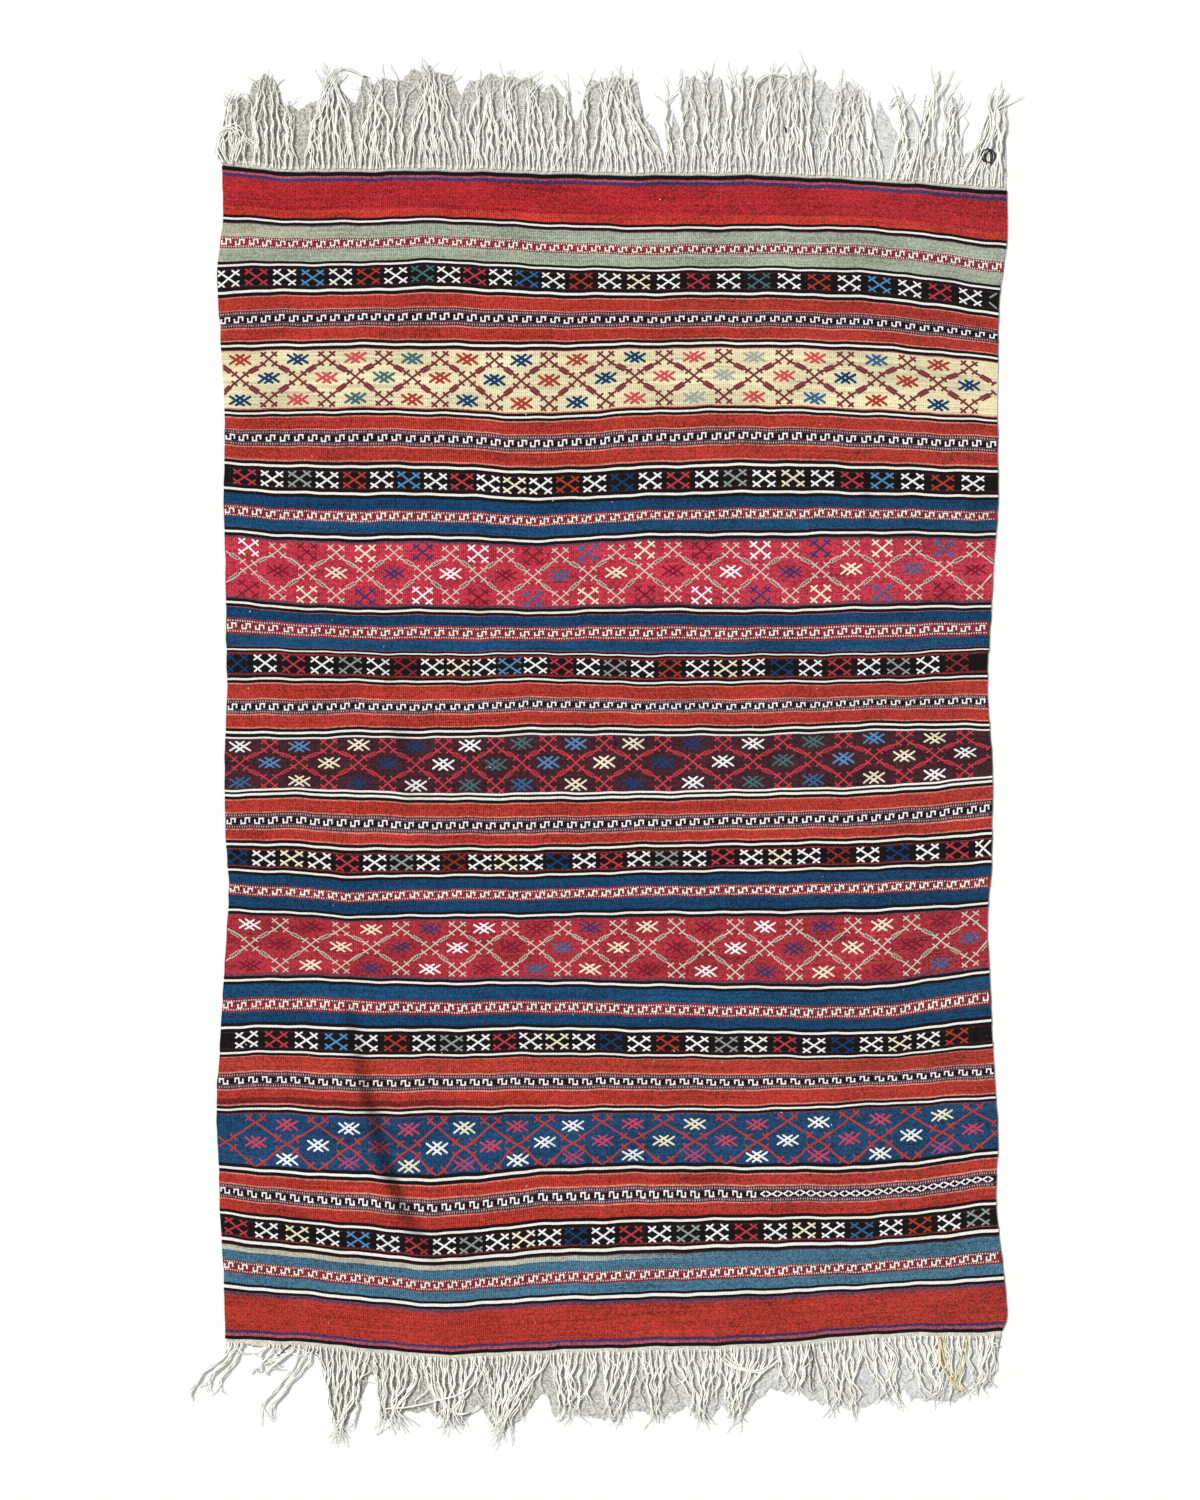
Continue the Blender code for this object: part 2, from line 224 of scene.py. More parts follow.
# What is woven from the upper end down, its yarn and the place of its lower edge.
CHART = (
    ("line", "night", 885),
    ("line", "rosewood", 881.5),
    ("line", "violet", 876),
    ("field", "crimson", 831.5),
    ("field", "scarlet", 818),
    ("guard", "ivory", 807),
    ("line", "plum", 805),
    ("field", "sage", 785),
    ("meander", "oxblood", 767.5),
    ("field", "lichen", 746.5),
    ("guard", "ivory", 735.5),
    ("crosses", "night", 706.5),
    ("guard", "ivory", 692.5),
    ("line", "rose", 690),
    ("field", "madder", 671.5),
    ("line", "rose", 670),
    ("meander", "night", 644.5),
    ("line", "rose", 642.5),
    ("field", "madder", 626),
    ("line", "rose", 623.5),
    ("guard", "ivory", 611.5),
    ("line", "rosewood", 609.5),
    ("lattice", "cream", 522.5),
    ("line", "rose", 520),
    ("guard", "ivory", 510),
    ("line", "rose", 507.5),
    ("field", "madder", 491.5),
    ("line", "rose", 489.5),
    ("meander", "night", 466.5),
    ("line", "rose", 464.5),
    ("field", "madder", 447),
    ("line", "rose", 444),
    ("guard", "ivory", 432),
    ("crosses", "night", 406),
    ("guard", "ivory", 393.5),
    ("field", "navy", 376),
    ("line", "maroon", 374.5),
    ("meander", "oxblood", 357.5),
    ("field", "azure", 341.5),
    ("line", "plum", 340.5),
    ("guard", "ivory", 328.5),
    ("line", "plum", 325),
    ("lattice", "cherry", 235.5),
    ("line", "plum", 231.5),
    ("guard", "ivory", 220),
    ("line", "rosewood", 218.5),
    ("field", "navy", 202),
    ("line", "maroon", 200.5),
    ("meander", "oxblood", 179),
    ("line", "maroon", 177),
    ("field", "azure", 159.5),
    ("line", "plum", 157.5),
    ("guard", "ivory", 150),
    ("line", "oxblood", 147),
    ("crosses", "night", 117),
    ("line", "oxblood", 114),
    ("guard", "ivory", 103),
    ("line", "rose", 100.5),
    ("field", "madder", 79.5),
    ("line", "rose", 77),
    ("meander", "night", 56),
    ("line", "rose", 53.5),
    ("field", "madder", 36),
    ("line", "rose", 33.5),
    ("upper_guard", "ivory", 18.5),
    ("lattice", "umber", -61),
    ("lower_guard", "ivory", -74.5),
    ("line", "rose", -77),
    ("field", "madder", -94.5),
    ("line", "rose", -96.5),
    ("meander", "night", -120),
    ("line", "rose", -122.5),
    ("field", "madder", -135.5),
    ("line", "rose", -138),
    ("guard", "ivory", -149.5),
    ("line", "oxblood", -151.5),
    ("crosses", "night", -176),
    ("line", "oxblood", -178),
    ("guard", "ivory", -188.5),
    ("field", "navy", -204),
    ("line", "maroon", -205.5),
    ("meander", "oxblood", -220.5),
    ("line", "maroon", -222),
    ("field", "navy", -239.5),
    ("guard", "ivory", -250.5),
    ("line", "plum", -252.5),
    ("lattice", "carmine", -343),
    ("line", "plum", -347),
    ("guard", "ivory", -358.5),
    ("field", "azure", -379.5),
    ("line", "maroon", -381.5),
    ("meander", "oxblood", -399.5),
    ("line", "maroon", -401.5),
    ("field", "navy", -418),
    ("guard", "ivory", -430.5),
    ("crosses", "night", -457.5),
    ("guard", "ivory", -468),
    ("line", "rose", -469.5),
    ("field", "russet", -491),
    ("line", "rose", -493.5),
    ("back_meander", "night", -517),
    ("line", "rose", -519.5),
    ("field", "madder", -532),
    ("field", "claret", -540.5),
    ("line", "rose", -543.5),
    ("guard", "ivory", -554),
    ("line", "plum", -556.5),
    ("lattice", "slate", -631.5),
    ("guard", "ivory", -644.5),
    ("line", "rose", -647),
    ("field", "madder", -661),
    ("line", "rose", -663.5),
    ("back_meander", "night", -685),
    ("line", "rose", -687),
    ("field", "madder", -703),
    ("guard", "ivory", -714.5),
    ("crosses", "night", -740.5),
    ("line", "oxblood", -742.5),
    ("wide_guard", "ivory", -754),
    ("line", "umber", -756.5),
    ("field", "shell", -764),
    ("field", "pool", -779.5),
    ("meander", "oxblood", -797),
    ("line", "maroon", -798.5),
    ("field", "pool", -814.5),
    ("wide_guard", "ivory", -826.5),
    ("line", "plum", -832.5),
    ("field", "madder", -886),
    ("line", "violet", -890.5),
    ("line", "rosewood", -895),
    ("line", "night", -900),
)
# Yarns that run out and are pieced on with another: the next yarn, and X where it takes over.
DRIFTS = {
    "shell": ("pool", -200, 240),
    "sage": ("lichen", -560, -300),
    "claret": ("madder", -260, -60),
}
# How each kind of row divides into stripes: yarn (None is the row's own), and share from the top.
STRIPES = {
    "line": ((None, 0, 1),),
    "field": ((None, 0, 1),),
    "lattice": ((None, 0, 1),),
    "guard": (("night", 0, 0.37), ("ivory", 0.37, 0.63), ("night", 0.63, 1)),
    "wide_guard": (("night", 0, 0.31), ("ivory", 0.31, 0.67), ("night", 0.67, 1)),
    "upper_guard": (("night", 0, 0.29), ("ivory", 0.29, 0.5), ("night", 0.5, 0.84),
                    ("ivory", 0.84, 1)),
    "lower_guard": (("ivory", 0, 0.2), ("night", 0.2, 0.44), ("ivory", 0.44, 0.68),
                    ("night", 0.68, 1)),
    "crosses": (("umber", 0, 0.05), (None, 0.05, 0.95), ("umber", 0.95, 1)),
    "meander": ((None, 0, 0.24), ("plum", 0.24, 0.3), (None, 0.3, 0.7), ("plum", 0.7, 0.76),
                (None, 0.76, 1)),
}
STRIPES["back_meander"] = STRIPES["meander"]
MEANDER_EDGE = {"night": "dusk", "oxblood": "oxblood"}

# Rows of crosses: X of five of them (index, x), and the yarns in order from the left.
CROSS_ROWS = (
    # x at indexes 0, 6, 13, 20 and 26, yarns
    ((-568, -312, -29, 289, 566), "WRWLWOWTWRWBWOWCWRWTWOWLWRWG"),
    ((-543, -292, -8, 295, 570), "RWGWOWLWRWCWOWDWRWGWCWRLWOW"),
    ((-555, -297, -18, 278, 546), "DWRWGWKWCWLWRWGWOWCWDWRWGWK"),
    ((-556, -303, -24, 275, 546), "DWCWRWGWKWCWDWRWGWRWCWKWDWRW"),
    ((-540, -269, 17, 327, 589), "WRWLWOWGWRWCWDWOWGWRWDWCWO"),
    ((-556, -280, 5, 312, 578), "RWCWLWRWGWCWDWRWGWRWCWBWOWG"),
)
CROSS_INDEXES = (0, 6, 13, 20, 26)

# Lattice bands: X of five half-diamonds, yarns of the bars (edge, core), widths of the lines, of
# the bars' edges and of the figures' strokes, form of the upper and lower figures, and the
# figures' yarns in the upper, middle and lower rows ("." is none).
LATTICE_BANDS = (
    # x at half-diamonds 0, 6, 12, 18 and 25, yarns, widths, figure, upper, middle, lower
    ((-550, -287, -35, 235, 564), ("wine", "mulberry"), (4.0, 3.2, 4.8), "star",
     "ODPTODODPAPBO", "DPTODODPAPDOD", "DPTODODPAPBOD"),
    ((-537, -271, -18, 245, 573), ("straw", "moss"), (2.4, 1.5, 3.3), "cross",
     "WMCVWMBCMWVCB", "MCVWMBCMWVCBM", "MCVWMBCMWVCBM"),
    ((-550, -281, -37, 234, 558), ("coral", "garnet"), (2.7, 1.8, 3.3), "star",
     "WLCDWTLCDWTLC", "LCDWTLCDWTLCW", "BCDWTBCDWTBCW"),
    ((-535, -260, -15, 252, 566), ("straw", "moss"), (2.4, 1.5, 3.3), "star",
     "WMCVWMVCMWVCM", "MCVWMBCMWVCMB", "MCVWMBCMWVCMB"),
    ((-573, -292, -41, 240, 570), ("brick", None), (3.2, 0, 3.4), "star",
     ".FWFCFWFCFWFC", "FWRWFWFCFWFWF", ".WQCQWQWQWFWQ"),
)
HALF_INDEXES = (0, 6, 12, 18, 25)
LATTICE_HALVES = (-1, 27)      # the first and the last half-diamond, at and past the selvedges
LATTICE_LEVELS = (0.15, 0.485, 0.86)   # shares of a band's height at its three rows of nodes
LATTICE_NODE = (9.2, 7.6)      # half width and half height of a node
BAR_SPANS = ((0.28, 0.82), (0.22, 0.74))   # where a bar starts and ends, as shares of its line

# The octagons' own rows of nodes and of figures, and how far the lowest nodes lie past the band
OCTAGON_LEVELS = (0.17, 0.57)
OCTAGON_FIGURE_LEVELS = (0.21, 0.55, 0.86)
OCTAGON_DROP = 3
OCTAGON_NODE = (13.2, 7.6)
OCTAGON_FOOT = (11, 7)         # where a line ends beside one of the lowest nodes

# Brocade
STITCH = 4.6                   # length of one stitch along a stroke
STITCH_WAIST = 0.84            # share of its width where it meets the next one
STROKE_END = 0.5               # share of its width at both ends of a stroke
STROKE_WIDTH = 3.2
STROKE_MARGIN = 1.2            # strokes keep this far inside the selvedges
STROKE_SECTION = (             # share of its half width, share of its relief
    (-1, -0.15), (-0.5, 0.85), (0.5, 0.85), (1, -0.15),
)
CROSS_SIZE = (17.2, 0.445)     # half width, and half height as a share of the band's
CROSS_WIDTH = 3.3
HOOK_PITCH = 21.0              # from one hook of the meander to the next
HOOK_WIDTH = 2.7
HOOK_STROKES = (               # X and share of the hook's reach, at the start and at the end
    (-6.2, 0.6, -6.0, -1.3),
    (-7.2, -1.0, 0.9, -1.0),
    (-0.3, -1.3, 0.3, 1.3),
    (-0.9, 1.0, 7.2, 1.0),
    (6.0, 1.3, 6.2, -0.6),
)
BRAID_PLACE = -685             # the row whose hooks double up, and from which X on
BRAID_START = 245
BRAID_PITCH = 16.8
BRAID_WIDTH = 2.4
DOT_PITCH = 3.75
DOT_WIDTH = 1.9
DOT_LEVELS = (0.13, 0.87)      # shares of a meander's height at its two rows of dots
DOT_SECTION = (                # share of its half width, lift
    (-1, -0.1), (-0.45, 0.7), (0.45, 0.7), (1, -0.1),
)
DOT_RINGS = (                  # share of its height, share of its width
    (-0.5, 0.5), (0.0, 1.0), (0.5, 0.5),
)
GUARD_BULGE = 0.5              # how far a guard's cords bulge over the rows beside them
CORD_STEP = 4.2                # half of one wrap of the guard cords
CORD_WAIST = 0.72              # their height between two wraps
HAND_SLIP = 0.22               # how far a stitch misses its place, as a rule
SHADE_SPREAD = 0.05            # how much lighter or darker a yarn is each time it is taken up
LINT_FLECKS = 90
LINT_FIELD = ((-560, -885), (585, 875))

# Wool finishes. Streaks vary the yarn along the warps and abrash along the wefts; ribs paint shade
# between the warps and light on them; grin is the pale fibre that shows; fuzz breaks up the relief.
WOOLS = {
    # name: streaks, abrash, ribs (painted shade and light), grin, warp pitch, weft pitch, fuzz, relief
    "weft_faced_wool": (1.1, 1.5, 0.5, 0.1, 3.06, 0.8, 0.35, 0.45),
    "brocade_wool": (0.3, 0.3, 0.0, 0.0, 2.3, 1.1, 0.5, 0.4),
    "warp_wool": (0.5, 0.1, 0.0, 0.0, 1.2, 2.4, 0.5, 0.3),
    "shade_felt_wool": (2.0, 0.1, 0.0, 0.0, 1.2, 2.4, 0.5, 0.3),
}
PALE_FIBRE = (0.70, 0.58, 0.50, 1)
RUBBED_WOOL = (0.74, 0.66, 0.58, 1)

# Heading
HEADING_WIDTH = 11.0
HEADING_GAP = 0.3
HEADING_INSET = 1.5            # from the selvedge
HEADING_RIBS = 330
RIB_STEPS = 4                  # steps of its mesh across one rib
HEADING_SECTION = (
    # share of its width, height, how far its loose ends wander
    (0, 0.4, 0),
    (0.04, 1.7, 0),
    (0.3, 2.2, 0),
    (0.52, 1.8, 0),
    (0.76, 2.1, 0.5),
    (0.95, 1.5, 1.2),
    (1, 0.2, 1.3),
)

# Fringe
TOP_TUFTS = (
    # root_from, root_to, tip_from, tip_to, length, sway
    (-574, -537, -572, -543, 105, -8),
    (-534, -486, -533, -489, 141, 0),
    (-484, -460, -484, -475, 104, 0),
    (-452, -373, -421, -398, 145, 0),
    (-370, -319, -362, -313, 145, 0),
    (-300, -212, -297, -226, 154, 0),
    (-194, -153, -199, -158, 147, 0),
    (-148, -120, -150, -135, 148, 0),
    (-111, -80, -118, -92, 137, 0),
    (-74, -63, -79, -67, 133, 0),
    (-57, -46, -56, -48, 133, 0),
    (-29, 94, -25, 56, 145, 0),
    (103, 116, 98, 104, 150, 0),
    (119, 180, 119, 172, 153, 0),
    (190, 229, 187, 235, 153, 0),
    (234, 275, 242, 284, 154, 0),
    (279, 328, 293, 317, 165, 0),
    (332, 432, 338, 428, 141, 0),
    (440, 464, 446, 459, 130, 9),
    (473, 498, 506, 518, 160, 0),
    (514, 545, 532, 547, 142, 0),
    (554, 616, 593, 622, 142, 0),
)
BOTTOM_TUFTS = (
    # root_from, root_to, tip_from, tip_to, length, sway
    (-570, -543, -624, -582, 82, 0),
    (-513, -470, -524, -506, 44, 0),
    (-459, -440, -510, -496, 108, 0),
    (-424, -351, -408, -386, 136, 0),
    (-348, -276, -336, -306, 112, 0),
    (-272, -182, -256, -203, 106, 0),
    (-177, -78, -167, -138, 122, 0),
    (-73, -4, -66, -12, 98, 0),
    (0, 60, 7, 29, 104, 0),
    (63, 99, 78, 91, 107, 0),
    (103, 175, 145, 165, 108, 0),
    (180, 266, 194, 218, 113, 0),
    (270, 318, 281, 314, 73, 0),
    (324, 397, 339, 404, 110, 0),
    (401, 454, 434, 455, 98, 0),
    (459, 540, 491, 538, 95, 0),
    (545, 606, 549, 602, 89, 0),
)
TOP_OUTLINE = (
    # x, how far the grey felt of painted shade and the stray yarns reach past the heading
    (-584, 0), (-578, 40), (-570, 90), (-562, 105), (-540, 110), (-530, 140), (-495, 140), (-483, 110),
    (-465, 90), (-445, 110), (-428, 115), (-419, 145), (-401, 140), (-385, 110), (-373, 110),
    (-364, 140), (-320, 140), (-295, 150), (-262, 155), (-226, 145), (-212, 115), (-199, 135),
    (-171, 150), (-115, 150), (-98, 135), (-70, 130), (-52, 115), (-43, 85), (-34, 90),
    (-15, 140), (20, 150), (58, 140), (67, 100), (76, 80), (88, 55), (95, 20), (104, 5),
    (112, 105), (122, 65), (130, 150), (187, 150), (194, 90), (205, 135), (232, 150),
    (290, 155), (315, 165), (324, 150), (352, 140), (400, 145), (407, 70), (416, 60),
    (425, 130), (443, 90), (457, 70), (471, 115), (489, 70), (498, 145), (508, 25),
    (524, 60), (535, 140), (546, 140), (553, 30), (572, 60), (590, 120), (600, 140),
    (616, 145), (622, 0),
)
BOTTOM_OUTLINE = (
    # x, how far the grey felt of painted shade and the stray yarns reach past the heading
    (-470, 0), (-430, 10), (-419, 65), (-410, 100), (-400, 135), (-390, 135), (-382, 110),
    (-364, 65), (-350, 35), (-343, 35), (-336, 110), (-300, 100), (-265, 85), (-217, 105),
    (-190, 75), (-180, 80), (-162, 120), (-135, 115), (-107, 90), (-92, 65), (-80, 65),
    (-70, 100), (0, 105), (20, 110), (58, 95), (86, 110), (122, 90), (150, 110), (177, 95),
    (205, 110), (223, 100), (260, 70), (315, 80), (333, 100), (388, 115), (425, 100),
    (462, 90), (500, 100), (544, 105), (563, 85), (600, 85), (608, 40), (614, 0),
)
# Strands with a way of their own: yarn, radius, how many, and X and reach past the cloth's end
TOP_STRANDS = (
    ("warp", 1.4, 5, ((-572, 8), (-582, 32), (-574, 56), (-558, 64), (-547, 52), (-551, 36))),
    ("warp", 1.3, 3, ((-560, 8), (-553, 30), (-545, 44), (-530, 40), (-528, 22))),
    ("dark_warp", 1.5, 2, ((588, 44), (587, 56), (596, 63), (603, 54), (597, 44), (589, 46))),
    ("dark_warp", 0.6, 1, ((330, 10), (327, 50), (331, 90), (328, 128))),
    ("dark_warp", 1.6, 1, ((282, 66), (284, 72), (283, 77))),
    ("warp", 1.1, 2, ((-360, 150), (-390, 160), (-410, 152), (-424, 120))),
    ("warp", 1.2, 2, ((228, 90), (240, 140), (262, 158), (290, 150), (300, 120))),
    ("warp", 1.2, 3, ((470, 8), (486, 60), (478, 105), (455, 132), (442, 118))),
    ("warp", 1.2, 2, ((560, 10), (585, 60), (600, 100), (592, 138), (600, 150))),
)
BOTTOM_STRANDS = (
    ("warp", 1.5, 4, ((186, 18), (200, 34), (224, 44), (252, 42), (276, 26))),
    ("umber", 1.0, 1, ((323, 10), (325, 30), (322, 56), (325, 82))),
    ("dark_warp", 1.1, 1, ((-472, 6), (-480, 12), (-488, 18), (-497, 26))),
    ("warp", 1.2, 2, ((-326, 92), (-290, 84), (-253, 72), (-202, 55), (-174, 24))),
    ("warp", 1.2, 2, ((-258, 12), (-250, 60), (-214, 92), (-176, 78))),
    ("old_warp", 1.3, 4, ((520, 12), (526, 50), (545, 84), (556, 94))),
    ("old_warp", 1.2, 2, ((558, 12), (552, 50), (540, 90))),
    ("warp", 1.3, 3, ((432, 10), (452, 40), (444, 72), (456, 100))),
    ("dark_warp", 0.8, 1, ((-172, 12), (-166, 30), (-170, 46))),
)
# Each end: the frame's node, its place and way out, its tables, and its seeds for the heading,
# the yarns and the grey felt of painted shade
ENDS = (
    ("fringe_top", FIRST_WEFT, 1, TOP_TUFTS, TOP_STRANDS, TOP_OUTLINE, (31, 11, 41)),
    ("fringe_bottom", LAST_WEFT, -1, BOTTOM_TUFTS, BOTTOM_STRANDS, BOTTOM_OUTLINE, (32, 12, 42)),
)
ROOT_GAP = 24.0                # tufts whose roots are nearer than this share the gap
STRAND_PITCH = 9.5             # from one strand of two or three yarns to the next
STRAND_WANDER = 4.4
STRAY_PITCH = 10.0             # from one single yarn that wanders to the next
STRAY_WANDER = 5.0
ROOT_OVERLAP = 5.5             # how far the yarns reach back over the heading
STRAND_HEIGHT = 3.2            # of a strand's middle, where it leaves the heading
CROSSING_HEIGHT = 4.4          # of a strand that crosses the others
YARN_RADIUS = 1.35
FIBRE_RADIUS = 0.36
YARN_PAINTED_LIGHT = 1.16               # painted light: how much brighter than their own colour the fringe's yarns are made
YARN_SECTIONS = 26
YARN_SIDES = 6
TWIST = 14.0                   # how far a yarn's plies turn from root to tip, in radians
KINK = (1.3, 24, 38)           # a strand's slow bends: how far aside, shortest and longest
CRIMP = (0.4, 7, 10)           # a yarn's quick bends: how far aside, shortest and longest half
SHADE_FELT_PITCH = 2.4              # steps of the grey felt under the strands, a sheet of painted shade
SHADE_FELT_ROWS = 24
SHADE_FELT_REACH = 0.95             # its reach as a share of the outline
FLOOR_GAP = 0.05               # the lowest that wool lies over the floor

# Stage
VIEW_HEIGHT = 2.293            # metres of floor that the view takes in, from top to bottom
LENS = 100
FLOOR_HALF_SIZE = 30
FLOOR_COLOUR = (0.79, 0.79, 0.785, 1)
SKY_STRENGTH = 0.48
SUN_STRENGTH = 3.6
SUN_ANGLE = 0.2
SUN_FROM = (-2.1, 1.2, 2.3)


# ---------------------------------------------------------------- where the wefts lie

def ease(share):
    """From 0 to 1 with a soft start and a soft end."""
    return share * share * (3 - 2 * share)


def smooth_curve(knots, values, at):
    """Smooth curve through values at rising knots, straight past both ends.

    values is one row of numbers, or a row for each knot with a column for each point of at.
    """
    knots = np.asarray(knots, float)
    values = np.asarray(values, float)
    if values.ndim == 1:
        values = np.repeat(values[:, None], len(at), axis=1)
    last = len(knots) - 1
    after = np.minimum(np.arange(last + 1) + 1, last)
    before = np.maximum(np.arange(last + 1) - 1, 0)
    slopes = (values[after] - values[before]) / (knots[after] - knots[before])[:, None]
    inside = np.clip(at, knots[0], knots[-1])
    lower = np.clip(np.searchsorted(knots, inside, side="right") - 1, 0, last - 1)
    points = np.arange(len(at))
    span = knots[lower + 1] - knots[lower]
    t = (inside - knots[lower]) / span
    curve = (
        values[lower, points] * (1 + 2 * t) * (1 - t) ** 2
        + values[lower + 1, points] * t * t * (3 - 2 * t)
        + slopes[lower, points] * span * t * (1 - t) ** 2
        - slopes[lower + 1, points] * span * t * t * (1 - t)
    )
    end_slope = np.where(at < inside, slopes[0, points], slopes[last, points])
    return curve + (at - inside) * end_slope


def selvedge(place, side):
    """X of the LEFT or the RIGHT selvedge at each place."""
    rows = SELVEDGES[::-1]
    return smooth_curve([row[0] for row in rows], [row[side] for row in rows], place)


def selvedge_pair(place):
    """X of both selvedges at one place."""
    here = np.array([place], float)
    return selvedge(here, LEFT)[0], selvedge(here, RIGHT)[0]


def drop(x, place):
    """How far the weft of each place lies below it, at X."""
    rows = WOVEN_LINES[::-1]
    across = np.stack([smooth_curve(STATIONS, row[1], x) for row in rows])
    return smooth_curve([row[0] for row in rows], across, place)


def waver(x, place):
    """How far small bends lift the weft of each place, at X."""
    return sum(size * np.sin(2 * pi * (x / across + place / down))
               for across, down, size in WAVER)


def humps(table, x, place):
    """Sum of the soft humps of a table of ripples or creases."""
    total = np.zeros_like(x)
    for crest, middle, half_length, half_width, height, lean in table:
        aside = np.clip(np.abs(x - crest - lean * (middle - place)) / half_width, 0, 1)
        along = np.clip(np.abs(place - middle) / half_length, 0, 1)
        total += height * (1 - aside ** 2) ** 2 * (1 - along ** 2) ** 2
    return total


def find_shift():
    """From the tables' middle to the frame's, so that the cloth fills its solid's place."""
    places = np.linspace(LAST_WEFT, FIRST_WEFT, 400)
    sides = np.concatenate([selvedge(places, LEFT), selvedge(places, RIGHT)])
    shares = np.linspace(0, 1, 200)
    heights = []
    for end in (FIRST_WEFT, LAST_WEFT):
        place = np.full_like(shares, end)
        x = selvedge(place, LEFT) * (1 - shares) + selvedge(place, RIGHT) * shares
        heights.append(end - drop(x, place))
    heights = np.concatenate(heights)
    low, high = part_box("ground_cloth")
    return (
        (low[0] + high[0]) / 2 - (sides.min() + sides.max()) / 2 * MM,
        (low[1] + high[1]) / 2 - (heights.min() + heights.max()) / 2 * MM,
    )


SHIFT = find_shift()


def lay(points):
    """Positions in the frame of points given as X, place and lift above the ground cloth."""
    x, place, lift = points[:, 0], points[:, 1], points[:, 2]
    y = place - drop(x, place) + waver(x, place)
    z = GROUND_THICKNESS + humps(RIPPLES, x, place) + lift
    return np.column_stack([x * MM + SHIFT[0], y * MM + SHIFT[1], z * MM])


def chart_rows():
    """Each row of the chart as kind, yarn, upper place and lower place."""
    upper = FIRST_WEFT
    following = [row[0] for row in CHART[1:]] + ["end"]
    for (kind, yarn, lower), below in zip(CHART, following):
        # A guard's cords bulge over the rows on both sides of it
        lower += GUARD_BULGE * (("guard" in below) - ("guard" in kind))
        yield kind, yarn, upper, lower
        upper = lower


def row_stripes(kind, yarn, upper, lower):
    """Stripes of a chart row, as yarn, upper place and lower place."""
    height = upper - lower
    stripes = STRIPES[kind]
    for number, (own, start, end) in enumerate(stripes):
        name = own or yarn
        if "meander" in kind and number in (0, len(stripes) - 1):
            name = MEANDER_EDGE[yarn]
        yield name, upper - height * start, upper - height * end


def linear_colour(yarn):
    """A yarn's own colour in linear light, so that daylight makes it look as in the table."""
    value = np.array(YARNS[yarn], float) / 255
    return DAYLIGHT * np.where(value <= 0.04045, value / 12.92, ((value + 0.055) / 1.055) ** 2.4)


# ---------------------------------------------------------------- pieces made of woven faces

def grid_faces(height, width, first=0):
    """Faces between rows of points, numbered on from first, that run down and to the right."""
    index = first + np.arange(height * width).reshape(height, width)
    faces = np.stack([index[1:, :-1], index[1:, 1:], index[:-1, 1:], index[:-1, :-1]], axis=-1)
    return faces.reshape(-1, 4)


